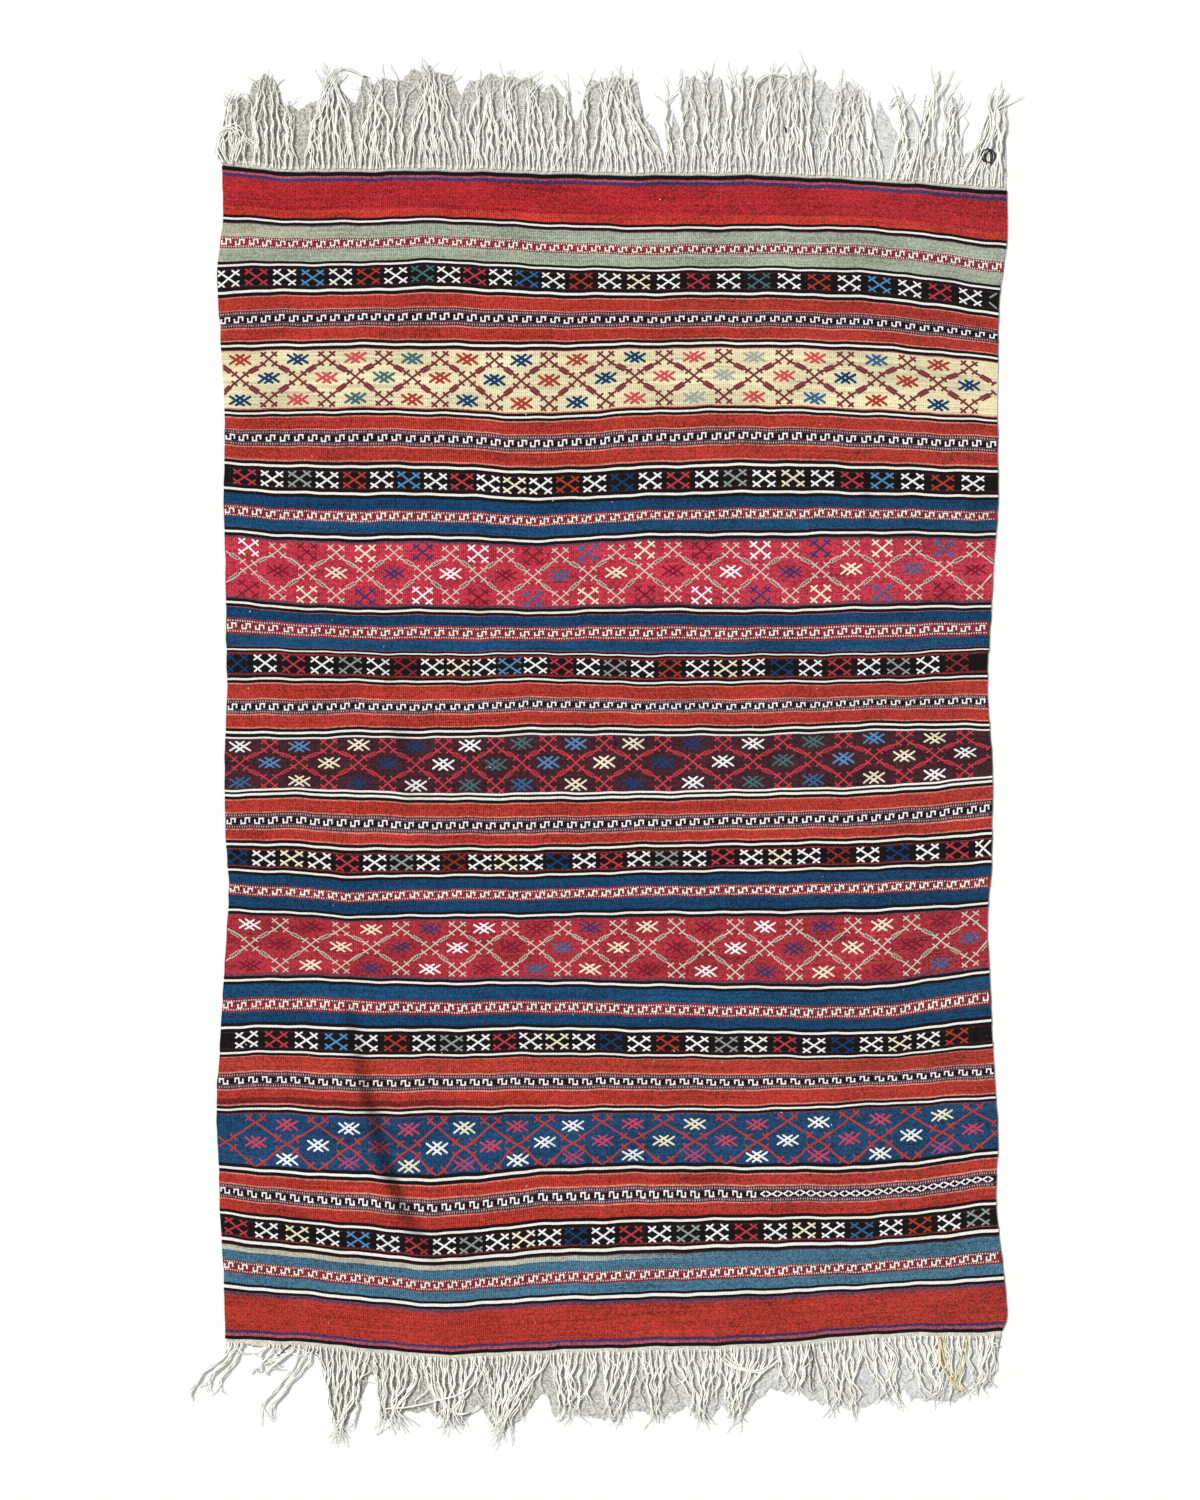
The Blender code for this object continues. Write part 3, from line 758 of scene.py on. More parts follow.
class Weaving:
    """Four-sided faces of one piece, gathered in the rug's own measures."""

    def __init__(self, seed):
        self.points, self.faces, self.colours = [], [], []
        self.count = 0
        self.random = np.random.default_rng(seed)

    def add(self, points, faces, colours):
        self.points.append(points)
        self.faces.append(faces + self.count)
        self.colours.append(colours)
        self.count += len(points)

    def add_grid(self, rows, colours):
        """Rows of points, each an array of the same length; one colour for each face."""
        self.add(np.concatenate(rows), grid_faces(len(rows), len(rows[0])), colours.reshape(-1, 3))

    def shades(self, yarn, count, spread=SHADE_SPREAD):
        """A yarn's colour for each of so many stitches, a little lighter or darker each time."""
        return linear_colour(yarn) * (1 + self.random.normal(0, spread, (count, 1)))

    def stroke(self, start, end, yarn, width=STROKE_WIDTH, relief=BROCADE_RELIEF, tips=STROKE_END):
        """A run of wrapped stitches from start to end, cut off at the selvedges."""
        ends = np.array([start, end], float) + self.random.normal(0, HAND_SLIP, (2, 2))
        middle = ends.mean(axis=0)
        left, right = selvedge_pair(middle[1])
        left, right = left + STROKE_MARGIN, right - STROKE_MARGIN
        if not left + 1 < middle[0] < right - 1:
            return
        ends[:, 0] = np.clip(ends[:, 0], left, right)
        run = ends[1] - ends[0]
        length = float(np.hypot(*run))
        joints = 2 * max(1, round(length / STITCH)) + 1
        shares = np.linspace(0, 1, joints)[:, None]
        waist = np.where(np.arange(joints) % 2 == 0, STITCH_WAIST, 1.0)
        waist[[0, -1]] = tips
        side = np.array([-run[1], run[0]]) / length * width / 2
        centre = ends[0] + run * shares
        rows = []
        for offset, crest in STROKE_SECTION:
            flat = centre + side * offset * waist[:, None]
            lift = relief * (crest if crest < 0 else crest * waist ** 2)
            rows.append(np.column_stack([flat, np.broadcast_to(lift, joints)]))
        faces = (len(rows) - 1) * (joints - 1)
        self.add_grid(rows, np.repeat(self.shades(yarn, 1), faces, axis=0))

    def dots(self, place, yarn, height):
        """A row of single upright stitches right across the rug."""
        left, right = selvedge_pair(place)
        x = np.arange(left + 3, right - 3, DOT_PITCH)
        x = x + self.random.normal(0, HAND_SLIP, len(x))
        tall = height * (1 + self.random.normal(0, 0.1, len(x)))
        points = np.array([
            np.column_stack([
                x + DOT_WIDTH / 2 * offset * round_off,
                place + tall * up,
                np.full(len(x), crest * (round_off if crest > 0 else 1)),
            ])
            for up, round_off in DOT_RINGS for offset, crest in DOT_SECTION
        ])
        one = grid_faces(len(DOT_RINGS), len(DOT_SECTION))[:, ::-1]
        faces = (one[None] + len(points) * np.arange(len(x))[:, None, None]).reshape(-1, 4)
        colours = np.repeat(self.shades(yarn, len(x), 0.1), len(one), axis=0)
        self.add(points.transpose(1, 0, 2).reshape(-1, 3), faces, colours)

    def guard_cords(self, kind, yarn, upper, lower):
        """Wrapped cords side by side along a guard, with a ridge along each."""
        left, right = selvedge_pair((upper + lower) / 2)
        left, right = left + 0.4, right - 0.4
        x = np.linspace(left, right, 2 * round((right - left) / CORD_STEP / 2) + 1)
        wrap = np.where(np.arange(len(x)) % 2 == 0, 1.0, CORD_WAIST)
        slant = 0.3 * (wrap - (1 + CORD_WAIST) / 2)
        rows, yarns = [], []
        for name, high, low in row_stripes(kind, yarn, upper, lower):
            rows.append(np.column_stack([x, high + slant, np.full(len(x), 0.12)]))
            rows.append(np.column_stack([x, (high + low) / 2 + slant, BROCADE_RELIEF * wrap]))
            yarns += [name, name]
        rows.append(np.column_stack([x, np.full(len(x), lower), np.full(len(x), -0.1)]))
        rows[0][:, 2] = -0.1
        self.add_grid(rows, np.array([self.shades(name, len(x) - 1) for name in yarns]))


def unfold(corners, points):
    """A piece's own map: a long band folded into rows of a square, with a margin around each.

    corners is (faces, 4, 2), and points are all the flat points that the piece fills.
    """
    low = points.min(axis=0)
    size = np.maximum(points.max(axis=0) - low, 1e-6)
    rows = max(1, round((size[0] / size[1]) ** 0.5))
    shares = (corners - low) / size
    fold = np.clip(np.floor(shares[:, :, 0].mean(axis=1) * rows), 0, rows - 1)
    across = (shares[:, :, 0] * rows - fold[:, None]) * 0.96 + 0.02
    up = (fold[:, None] + 0.04 + 0.92 * shares[:, :, 1]) / rows
    return np.stack([across, up], axis=-1)


def paint_crease_shade(mesh, points):
    """Mark how much painted crease shade each point gets, for the material."""
    # The fold attribute carries the painted crease shade
    fold = mesh.attributes.new("fold", "FLOAT", "POINT")
    depth = humps(CREASE_SHADES, points[:, 0], points[:, 1])
    fold.data.foreach_set("value", np.minimum(depth, DEEPEST_CREASE_SHADE).astype(np.float32))


def smooth_mesh(name, positions, faces):
    mesh = bpy.data.meshes.new(name)
    mesh.from_pydata(positions, [], faces)
    mesh.update()
    mesh.shade_smooth()
    return mesh


def show_mesh(mesh, colours, weave_uv, bake_uv, material):
    """The object of a mesh that gets a colour and a point of both maps for each corner."""
    corner = np.ones((len(mesh.loops), 4), np.float32)
    corner[:, :3] = np.clip(colours, 0, 1)
    attribute = mesh.color_attributes.new("yarn", "FLOAT_COLOR", "CORNER")
    attribute.data.foreach_set("color", corner.ravel())
    for title, uv in (("weave", weave_uv), ("OFBake", bake_uv)):
        layer = mesh.uv_layers.new(name=title)
        layer.data.foreach_set("uv", np.ascontiguousarray(uv, np.float32).ravel())
    mesh.materials.append(material)
    piece = bpy.data.objects.new(mesh.name, mesh)
    bpy.context.scene.collection.objects.link(piece)
    return piece


def make_mesh(name, positions, faces, colours, weave_uv, bake_uv, material):
    """A smooth piece of four-sided faces, with a colour for each face."""
    mesh = smooth_mesh(name, positions, faces)
    piece = show_mesh(mesh, np.repeat(colours, 4, axis=0), weave_uv, bake_uv, material)
    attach(piece, "root")
    return piece


def woven_piece(name, weaving, material):
    """The piece of a band's brocade, laid on the cloth."""
    points = np.concatenate(weaving.points)
    faces = np.concatenate(weaving.faces)
    colours = np.concatenate(weaving.colours)
    corners = points[faces][:, :, :2]
    bake_uv = unfold(corners, points[:, :2])
    piece = make_mesh(name, lay(points), faces, colours, corners * MM, bake_uv, material)
    paint_crease_shade(piece.data, points)
    return piece


# ---------------------------------------------------------------- materials

def new_group(title, inputs, outputs):
    """An empty shader node group with its sockets and its two end nodes."""
    group = bpy.data.node_groups.new(title, "ShaderNodeTree")
    for label, kind, value in inputs:
        socket = group.interface.new_socket(label, in_out="INPUT", socket_type=kind)
        socket.default_value = value
    for label, kind in outputs:
        group.interface.new_socket(label, in_out="OUTPUT", socket_type=kind)
    return group, group.nodes.new("NodeGroupInput"), group.nodes.new("NodeGroupOutput")


class Wiring:
    """Short hands for placing and joining the nodes of one tree."""

    def __init__(self, tree):
        self.tree = tree

    def node(self, kind, **settings):
        node = self.tree.nodes.new(kind)
        for key, value in settings.items():
            setattr(node, key, value)
        return node

    def feed(self, socket, value):
        if isinstance(value, bpy.types.NodeSocket):
            self.tree.links.new(value, socket)
        else:
            socket.default_value = value

    def group(self, tree, values):
        """The outputs of a node group that is fed the values, by the names of its sockets."""
        node = self.node("ShaderNodeGroup", node_tree=tree)
        for label, value in values.items():
            self.feed(node.inputs[label], value)
        return node.outputs

    def math(self, operation, first, second=0.0, third=0.0):
        node = self.node("ShaderNodeMath", operation=operation)
        for socket, value in zip(node.inputs, (first, second, third)):
            self.feed(socket, value)
        return node.outputs[0]

    def noise(self, vector, across, down, detail=1.0, rough=0.5):
        """Noise with so many specks a metre across and down."""
        node = self.node("ShaderNodeTexNoise")
        self.feed(node.inputs["Vector"], self.stretch(vector, across, down))
        node.inputs["Scale"].default_value = 1.0
        node.inputs["Detail"].default_value = detail
        node.inputs["Roughness"].default_value = rough
        return node.outputs["Fac"]

    def stretch(self, vector, across, down):
        node = self.node("ShaderNodeVectorMath", operation="MULTIPLY")
        self.feed(node.inputs[0], vector)
        node.inputs[1].default_value = (across, down, 1)
        return node.outputs[0]

    def split(self, vector):
        """X and Y of a vector."""
        node = self.node("ShaderNodeSeparateXYZ")
        self.feed(node.inputs[0], vector)
        return node.outputs["X"], node.outputs["Y"]

    def ribs(self, turns):
        """A round ridge for each whole turn."""
        return self.math("ABSOLUTE", self.math("SINE", self.math("MULTIPLY", turns, pi)))

    def tint(self, colour, factor):
        """A colour times a grey factor."""
        node = self.node("ShaderNodeVectorMath", operation="SCALE")
        self.feed(node.inputs[0], colour)
        self.feed(node.inputs["Scale"], factor)
        return node.outputs[0]

    def mix(self, share, first, second):
        node = self.node("ShaderNodeMix", data_type="RGBA")
        self.feed(node.inputs["Factor"], share)
        self.feed(node.inputs[6], first)
        self.feed(node.inputs[7], second)
        return node.outputs[2]

    def between(self, value, low, high):
        """0 below low, 1 above high, and a smooth rise in between."""
        node = self.node("ShaderNodeMapRange", interpolation_type="SMOOTHSTEP")
        self.feed(node.inputs["Value"], value)
        node.inputs["From Min"].default_value = low
        node.inputs["From Max"].default_value = high
        return node.outputs["Result"]


def make_hand_spun():
    """Uneven hand-spun wool: streaks along the warps, abrash along the wefts and pale fibres, with
    painted shade between the warps' ribs.
    """
    group, start, end = new_group(
        "hand_spun_wool",
        (("Yarn", "NodeSocketColor", (0.5, 0.1, 0.1, 1)),
         ("Weave", "NodeSocketVector", (0, 0, 0)),
         ("Streaks", "NodeSocketFloat", 0.3),
         ("Abrash", "NodeSocketFloat", 0.2),
         ("Rib Shade", "NodeSocketFloat", 0.0),
         ("Warp Pitch", "NodeSocketFloat", 0.003),
         ("Grin", "NodeSocketFloat", 0.2)),
        (("Colour", "NodeSocketColor"), ("Roughness", "NodeSocketFloat")),
    )
    w = Wiring(group)
    weave = start.outputs["Weave"]
    # Each stitch is a little lighter or darker than the next, and the grain of the fibres too
    grain = w.noise(weave, 300, 430, 1.0, 0.6)
    across, down = w.split(w.stretch(weave, 480, 620))
    course = w.math("FLOOR", down)
    cell = w.node("ShaderNodeCombineXYZ")
    w.feed(cell.inputs["X"], w.math("FLOOR", w.math("MULTIPLY_ADD", course, 0.5, across)))
    w.feed(cell.inputs["Y"], course)
    stitch = w.node("ShaderNodeTexWhiteNoise", noise_dimensions="2D")
    w.feed(stitch.inputs["Vector"], cell.outputs[0])
    swing = w.math("MULTIPLY_ADD", w.math("SUBTRACT", grain, 0.5), 0.3,
                   w.math("SUBTRACT", stitch.outputs["Value"], 0.5))
    # Dark yarns show it more than pale ones; painted shade darkens them between their ribs, painted
    # light lifts the ribs
    grey = w.node("ShaderNodeRGBToBW")
    w.feed(grey.inputs[0], start.outputs["Yarn"])
    depth = w.math("SUBTRACT", 1.0, w.math("MULTIPLY", grey.outputs[0], 1.2))
    swing = w.math("MULTIPLY", swing, w.math("MULTIPLY", start.outputs["Streaks"], depth))
    depth = w.math("MULTIPLY", start.outputs["Rib Shade"], w.math("MULTIPLY", depth, depth))
    warp = w.math("DIVIDE", w.split(weave)[0], start.outputs["Warp Pitch"])
    swing = w.math("MULTIPLY_ADD", w.math("SUBTRACT", w.ribs(warp), 0.64), depth, swing)
    # The dye changes from course to course, with a darker thread here and there, and in clouds
    courses = w.noise(weave, 4, 420, 3.0, 0.65)
    clouds = w.noise(weave, 9, 20)
    dye = w.math("MULTIPLY_ADD", w.math("SUBTRACT", clouds, 0.5), 0.5,
                 w.math("SUBTRACT", courses, 0.5))
    dye = w.math("MULTIPLY", dye, start.outputs["Abrash"])
    thread = w.between(w.noise(weave, 5, 560, 2.0, 0.6), 0.56, 0.74)
    dark_thread = w.math("MULTIPLY", thread, start.outputs["Abrash"])
    dye = w.math("MULTIPLY_ADD", dark_thread, -0.22, dye)
    factor = w.math("MAXIMUM", w.math("ADD", w.math("ADD", 1.0, swing), dye), 0.2)
    colour = w.tint(start.outputs["Yarn"], factor)
    pale = w.math("MULTIPLY", w.between(grain, 0.66, 0.84), start.outputs["Grin"])
    w.feed(end.inputs["Colour"], w.mix(pale, colour, PALE_FIBRE))
    fibres = w.noise(weave, 900, 700)
    w.feed(end.inputs["Roughness"], w.math("MULTIPLY_ADD", fibres, 0.16, 0.8))
    return group


def make_weft_faced():
    """Relief of weft-faced cloth: ribs over the warps, crossed by fine picks."""
    group, start, end = new_group(
        "weft_faced_relief",
        (("Weave", "NodeSocketVector", (0, 0, 0)),
         ("Warp Pitch", "NodeSocketFloat", 0.0019),
         ("Weft Pitch", "NodeSocketFloat", 0.0008),
         ("Fuzz", "NodeSocketFloat", 0.3)),
        (("Height", "NodeSocketFloat"),),
    )
    w = Wiring(group)
    across, down = w.split(start.outputs["Weave"])
    warp = w.math("DIVIDE", across, start.outputs["Warp Pitch"])
    weft = w.math("DIVIDE", down, start.outputs["Weft Pitch"])
    half_step = w.math("MULTIPLY", w.math("FLOOR", warp), 0.5)
    rib, pick = w.ribs(warp), w.ribs(w.math("ADD", weft, half_step))
    height = w.math("MULTIPLY_ADD", w.math("MULTIPLY", rib, pick), 0.4, w.math("MULTIPLY", rib, 0.6))
    fuzz = w.noise(start.outputs["Weave"], 1400, 1400, 2.0)
    height = w.math("MULTIPLY_ADD", fuzz, start.outputs["Fuzz"], height)
    w.feed(end.inputs["Height"], height)
    return group


def make_wear_and_crease_shade():
    """Painted shade along old fold lines, and age on the finished surface: faint soil and thin,
    lightened spots.
    """
    group, start, end = new_group(
        "wear_and_crease_shade",
        (("Colour", "NodeSocketColor", (0.5, 0.5, 0.5, 1)),
         ("Weave", "NodeSocketVector", (0, 0, 0)),
         ("Crease Shade", "NodeSocketFloat", 0.0)),
        (("Colour", "NodeSocketColor"),),
    )
    w = Wiring(group)
    soil = w.noise(start.outputs["Weave"], 6, 5, 3.0, 0.6)
    # Painted shade: darker where the creases lie, times a faint soil
    dark = w.math("SUBTRACT", 1.0, start.outputs["Crease Shade"])
    dark = w.math("MULTIPLY", dark, w.math("MULTIPLY_ADD", soil, 0.16, 0.92))
    colour = w.tint(start.outputs["Colour"], dark)
    spots = w.between(w.noise(start.outputs["Weave"], 160, 70, 3.0, 0.7), 0.62, 0.8)
    w.feed(end.inputs["Colour"], w.mix(w.math("MULTIPLY", spots, 0.05), colour, RUBBED_WOOL))
    return group


HAND_SPUN = make_hand_spun()
WEFT_FACED = make_weft_faced()
WEAR_AND_CREASE_SHADE = make_wear_and_crease_shade()


def wool_material(name, streaks, abrash, ribs, grin, warp_pitch, weft_pitch, fuzz, relief):
    """A wool finish that takes its yarn colours from the piece."""
    material = bpy.data.materials.new(name)
    material.use_nodes = True
    tree = material.node_tree
    w = Wiring(tree)
    shader = tree.nodes["Principled BSDF"]
    yarn = w.node("ShaderNodeVertexColor", layer_name="yarn").outputs["Color"]
    weave = w.node("ShaderNodeUVMap", uv_map="weave").outputs["UV"]
    # The fold attribute brings the painted crease shade
    fold = w.node("ShaderNodeAttribute", attribute_name="fold").outputs["Fac"]
    spun = w.group(HAND_SPUN, {
        "Yarn": yarn, "Weave": weave, "Streaks": streaks, "Abrash": abrash, "Rib Shade": ribs,
        "Warp Pitch": warp_pitch * MM, "Grin": grin,
    })
    cloth = w.group(WEFT_FACED, {
        "Weave": weave, "Warp Pitch": warp_pitch * MM, "Weft Pitch": weft_pitch * MM, "Fuzz": fuzz,
    })
    worn_and_shaded = w.group(WEAR_AND_CREASE_SHADE, {"Colour": spun["Colour"], "Weave": weave, "Crease Shade": fold})
    bump = w.node("ShaderNodeBump")
    bump.inputs["Strength"].default_value = 1.0
    bump.inputs["Distance"].default_value = relief * MM
    w.feed(bump.inputs["Height"], cloth["Height"])
    w.feed(shader.inputs["Base Color"], worn_and_shaded["Colour"])
    w.feed(shader.inputs["Roughness"], spun["Roughness"])
    w.feed(shader.inputs["Normal"], bump.outputs["Normal"])
    shader.inputs["Specular IOR Level"].default_value = 0.12
    shader.inputs["Sheen Weight"].default_value = 0.04
    shader.inputs["Sheen Roughness"].default_value = 0.5
    return material


# ---------------------------------------------------------------- the cloth

def cloth_rows():
    """Places of the cloth's mesh rows from the top, and the yarn woven below each but the last."""
    places, yarns = [FIRST_WEFT], []
    for row in chart_rows():
        for yarn, upper, lower in row_stripes(*row):
            steps = max(1, int(np.ceil((upper - lower) / CLOTH_ROW_STEP)))
            for step in range(1, steps + 1):
                places.append(upper + (lower - upper) * step / steps)
                yarns.append(yarn)
    return np.array(places), yarns


def cloth_grid(places):
    """Points of the upper side, a row for each place, with selvedges that are a little nibbled."""
    random = np.random.default_rng(7)
    knots = np.linspace(LAST_WEFT, FIRST_WEFT, NIBBLES)
    nibble = smooth_curve(knots, random.normal(0, NIBBLE_SIZE, NIBBLES), places[::-1])[::-1]
    left = selvedge(places, LEFT) + nibble
    right = selvedge(places, RIGHT) - nibble[::-1]
    shares = np.linspace(0, 1, CLOTH_COLUMNS + 1)
    x = left[:, None] * (1 - shares) + right[:, None] * shares
    place = np.repeat(places[:, None], len(shares), axis=1)
    inside = np.minimum(shares, 1 - shares) * (right - left).mean()
    rim, roll = SELVEDGE_ROLL
    lift = np.repeat(np.where(inside < rim, roll, 0.0)[None], len(places), axis=0)
    return np.stack([x, place, lift], axis=-1)


def cloth_faces(rows, columns, under):
    """Four-sided faces of both sides and both selvedges, and the faces that close the two ends."""
    index = np.arange(rows * columns).reshape(rows, columns)
    low = rows * columns + np.arange(rows * len(under)).reshape(rows, -1)
    quads = np.concatenate([
        grid_faces(rows, columns),
        grid_faces(rows, len(under), first=rows * columns)[:, ::-1],
        np.stack([index[1:, 0], index[:-1, 0], low[:-1, 0], low[1:, 0]], axis=-1),
        np.stack([index[:-1, -1], index[1:, -1], low[1:, -1], low[:-1, -1]], axis=-1),
    ])
    ends = []
    for row, turn in ((0, 1), (rows - 1, -1)):
        for number, first in enumerate(under[:-1]):
            rim = index[row, first:first + UNDERSIDE_STEP + 1].tolist()
            ends.append((rim + low[row, number:number + 2].tolist()[::-1])[::turn])
    return quads, ends


def cloth_colours(yarns, x, under):
    """A colour for each face of cloth_faces, in its order."""
    shades = np.array([linear_colour(yarn) for yarn in yarns])
    top = np.repeat(shades[:, None], x.shape[1] - 1, axis=1)
    for row, yarn in enumerate(yarns):
        if yarn in DRIFTS:
            following, first, last = DRIFTS[yarn]
            share = ease(np.clip((x[row, 1:] - first) / (last - first), 0, 1))[:, None]
            top[row] += (linear_colour(following) - shades[row]) * share
    low = np.repeat(shades[:, None], len(under) - 1, axis=1)
    ends = np.repeat(shades[[0, -1]], len(under) - 1, axis=0)
    return np.concatenate([top.reshape(-1, 3), low.reshape(-1, 3), shades, shades, ends])


def make_ground_cloth(material):
    """The woven sheet, closed underneath with fewer columns."""
    places, yarns = cloth_rows()
    top = cloth_grid(places)
    under = np.arange(0, CLOTH_COLUMNS + 1, UNDERSIDE_STEP)
    bottom = top[:, under].copy()
    bottom[:, :, 2] = UNDERSIDE_LIFT - GROUND_THICKNESS
    points = np.concatenate([top.reshape(-1, 3), bottom.reshape(-1, 3)])
    rows, columns = top.shape[:2]
    quads, ends = cloth_faces(rows, columns, under)
    mesh = smooth_mesh("ground_cloth_dyed", lay(points), [*quads.tolist(), *ends])
    mesh.set_sharp_from_angle(angle=pi / 3)

    corners_each = [4] * len(quads) + [len(face) for face in ends]
    colours = np.repeat(cloth_colours(yarns, top[:, :, 0], under), corners_each, axis=0)
    corner_of = np.empty(len(mesh.loops), np.int32)
    mesh.loops.foreach_get("vertex_index", corner_of)
    flat = points[corner_of, :2]
    low, high = flat.min(axis=0), flat.max(axis=0)
    # The upper side fills nine tenths of its own map, and all the rest has the strip above
    bake_uv = (flat - low) / (high - low) * [0.98, 0.9] + 0.01
    beneath = np.repeat(np.arange(len(corners_each)) >= (rows - 1) * (columns - 1), corners_each)
    bake_uv[beneath, 1] = bake_uv[beneath, 1] / 12 + 0.92
    cloth = show_mesh(mesh, colours, flat * MM, bake_uv, material)
    paint_crease_shade(mesh, points)
    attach(cloth, "root")
    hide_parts("ground_cloth")
    return cloth


# ---------------------------------------------------------------- brocaded bands

CORNERS = ((1, 1), (1, -1), (-1, 1), (-1, -1))
UPPER_CORNERS = ((1, 1), (-1, 1))
STAR_STROKES = [(sx * -16.8, sy * 6.8, sx * 7.4, sy * -8.4) for sx, sy in CORNERS]


def cross_strokes(half_width, half_height):
    """A large cross, whose arms short strokes cross near their ends."""
    out, up = half_width * 0.66, half_height * 0.67
    arm, rise = half_width * 0.36, half_height * 0.36
    return [
        (-half_width, -half_height, half_width, half_height),
        (-half_width, half_height, half_width, -half_height),
        *((sx * (out - arm), sy * (up + rise), sx * (out + arm), sy * (up - rise))
          for sx, sy in CORNERS),
    ]


def full_crosses(out, up, arm, rise, corners=CORNERS):
    """Small whole crosses around a node."""
    return [(sx * out - arm, sy * up - lean * rise, sx * out + arm, sy * up + lean * rise)
            for sx, sy in corners for lean in (1, -1)]


def draw(weaving, strokes, x, place, yarn, width=STROKE_WIDTH, tips=STROKE_END):
    """Strokes given as X and height from a middle, at the start and at the end."""
    for x0, up0, x1, up1 in strokes:
        weaving.stroke((x + x0, place + up0), (x + x1, place + up1), yarn, width, tips=tips)


def weave_crosses(weaving, upper, lower, row):
    """One row of crosses, each in its own yarn."""
    places, yarns = row
    numbers = np.arange(len(yarns), dtype=float)
    centre = (upper + lower) / 2
    half_width, share = CROSS_SIZE
    strokes = cross_strokes(half_width, (upper - lower) * share)
    for x, yarn in zip(smooth_curve(CROSS_INDEXES, places, numbers), yarns):
        draw(weaving, strokes, x, centre + weaving.random.normal(0, 0.3), yarn, CROSS_WIDTH)


def weave_bar(weaving, start, end, edge, core, width):
    """A thick slanting bar: two edge strokes, one a step ahead of the other, and a core."""
    (x0, place0), (x1, place1) = start, end
    lean = 1 if x1 > x0 else -1
    apart = 0.9 + width * 0.42
    weaving.stroke((x0, place0), (x1, place1), core, 2 * apart, 0.85)
    for side in (-1, 1):
        step, rise = side * lean * 1.8, side * apart
        weaving.stroke((x0 + step, place0 + rise), (x1 + step, place1 + rise), edge, width, 1.0)


def lattice_lines(weaving, levels, across, yarns, line, bar):
    """Slanting lines from each row of nodes down to the next, with a bar along each diamond's."""
    edge, core = yarns
    out, up = LATTICE_NODE if core else OCTAGON_NODE
    first_half, last_half = LATTICE_HALVES
    for half in range(first_half, last_half):
        for level in (0, 1):
            ends = across[half], across[half + 1]
            top, bottom = ends if (half % 2 == 1) == (level == 0) else ends[::-1]
            lean = 1 if bottom > top else -1
            start = (top + lean * out, levels[level] - up)
            end = (bottom - lean * out, levels[level + 1] + up)
            if not core and level == 0:
                start = (top, levels[0])
            elif not core:
                foot, rise = OCTAGON_FOOT
                end = (bottom - lean * foot, levels[2] + rise)
            weaving.stroke(start, end, edge, line)
            if core:
                near, far = ([a + (b - a) * share for a, b in zip(start, end)]
                             for share in BAR_SPANS[level])
                weave_bar(weaving, near, far, edge, core, bar)


def lattice_nodes(weaving, levels, across, edge, line, octagons):
    """Crosses where the lines meet: whole ones, or those that point up from the octagons' feet."""
    out, up = OCTAGON_NODE if octagons else LATTICE_NODE
    if octagons:
        node = cross_strokes(out, up)[:2] + full_crosses(out, up + 0.8, 5.4, 5.0)
    else:
        node = cross_strokes(out * 1.42, up * 1.42)
    arms = [(0, 0, sx * 10.6, 7) for sx, _ in UPPER_CORNERS]
    foot = arms + full_crosses(10.6, 7.4, 5.2, 4.8, UPPER_CORNERS)
    for half, x in across.items():
        tops = half % 2 == 1
        for level in ((0, 2) if tops else (1,)):
            if octagons and tops:
                draw(weaving, foot, x, levels[level] + (level > 0), edge, line)
            else:
                draw(weaving, node, x, levels[level], edge, line)


def weave_lattice(weaving, upper, lower, band):
    """Diamonds or octagons of slanting lines, with nodes where they meet and a figure in each."""
    places, yarns, (line, bar, figure_line), figure, *rows = band
    octagons = yarns[1] is None
    height = upper - lower
    if octagons:
        levels = [*(upper - height * share for share in OCTAGON_LEVELS), lower - OCTAGON_DROP]
        figure_levels = [upper - height * share for share in OCTAGON_FIGURE_LEVELS]
    else:
        levels = figure_levels = [upper - height * share for share in LATTICE_LEVELS]
    first_half, last_half = LATTICE_HALVES
    halves = np.arange(first_half, last_half + 1, dtype=float)
    across = dict(zip(halves.astype(int), smooth_curve(HALF_INDEXES, places, halves)))
    lattice_lines(weaving, levels, across, yarns, line, bar)
    lattice_nodes(weaving, levels, across, yarns[0], line, octagons)
    for level, names in enumerate(rows):
        for number, yarn in enumerate(names):
            if yarn == ".":
                continue
            x = across[2 * number + (level == 1)]
            if figure == "cross" and level != 1:
                draw(weaving, cross_strokes(15.6, 12.4), x, figure_levels[level], yarn)
            else:
                draw(weaving, STAR_STROKES, x, figure_levels[level], yarn, figure_line)


def weave_meander(weaving, kind, yarn, upper, lower):
    """A run of square hooks between two rows of dots."""
    height = upper - lower
    centre = (upper + lower) / 2
    reach = min(3.8, height * 0.21)
    turn = -reach if kind == "back_meander" else reach
    hook = [(x0, up0 * turn, x1, up1 * turn) for x0, up0, x1, up1 in HOOK_STROKES]
    braid = [(sx * 8.2, sy * -0.4, sx * 0.8, sy * reach) for sx, sy in CORNERS]
    white, dot = ("W", "blush") if yarn == "night" else ("ivory", "ivory")
    left, right = selvedge_pair(centre)
    x = left + 9
    while x < right - 4:
        level = centre + weaving.random.normal(0, 0.25)
        strokes, width, pitch = hook, HOOK_WIDTH, HOOK_PITCH
        if lower == BRAID_PLACE and x > BRAID_START:
            strokes, width, pitch = braid, BRAID_WIDTH, BRAID_PITCH
        draw(weaving, strokes, x, level, white, width, 0.9)
        x += pitch * (1 + weaving.random.normal(0, 0.04))
    for share in DOT_LEVELS:
        weaving.dots(upper - height * share, dot, min(2.8, height * 0.14))


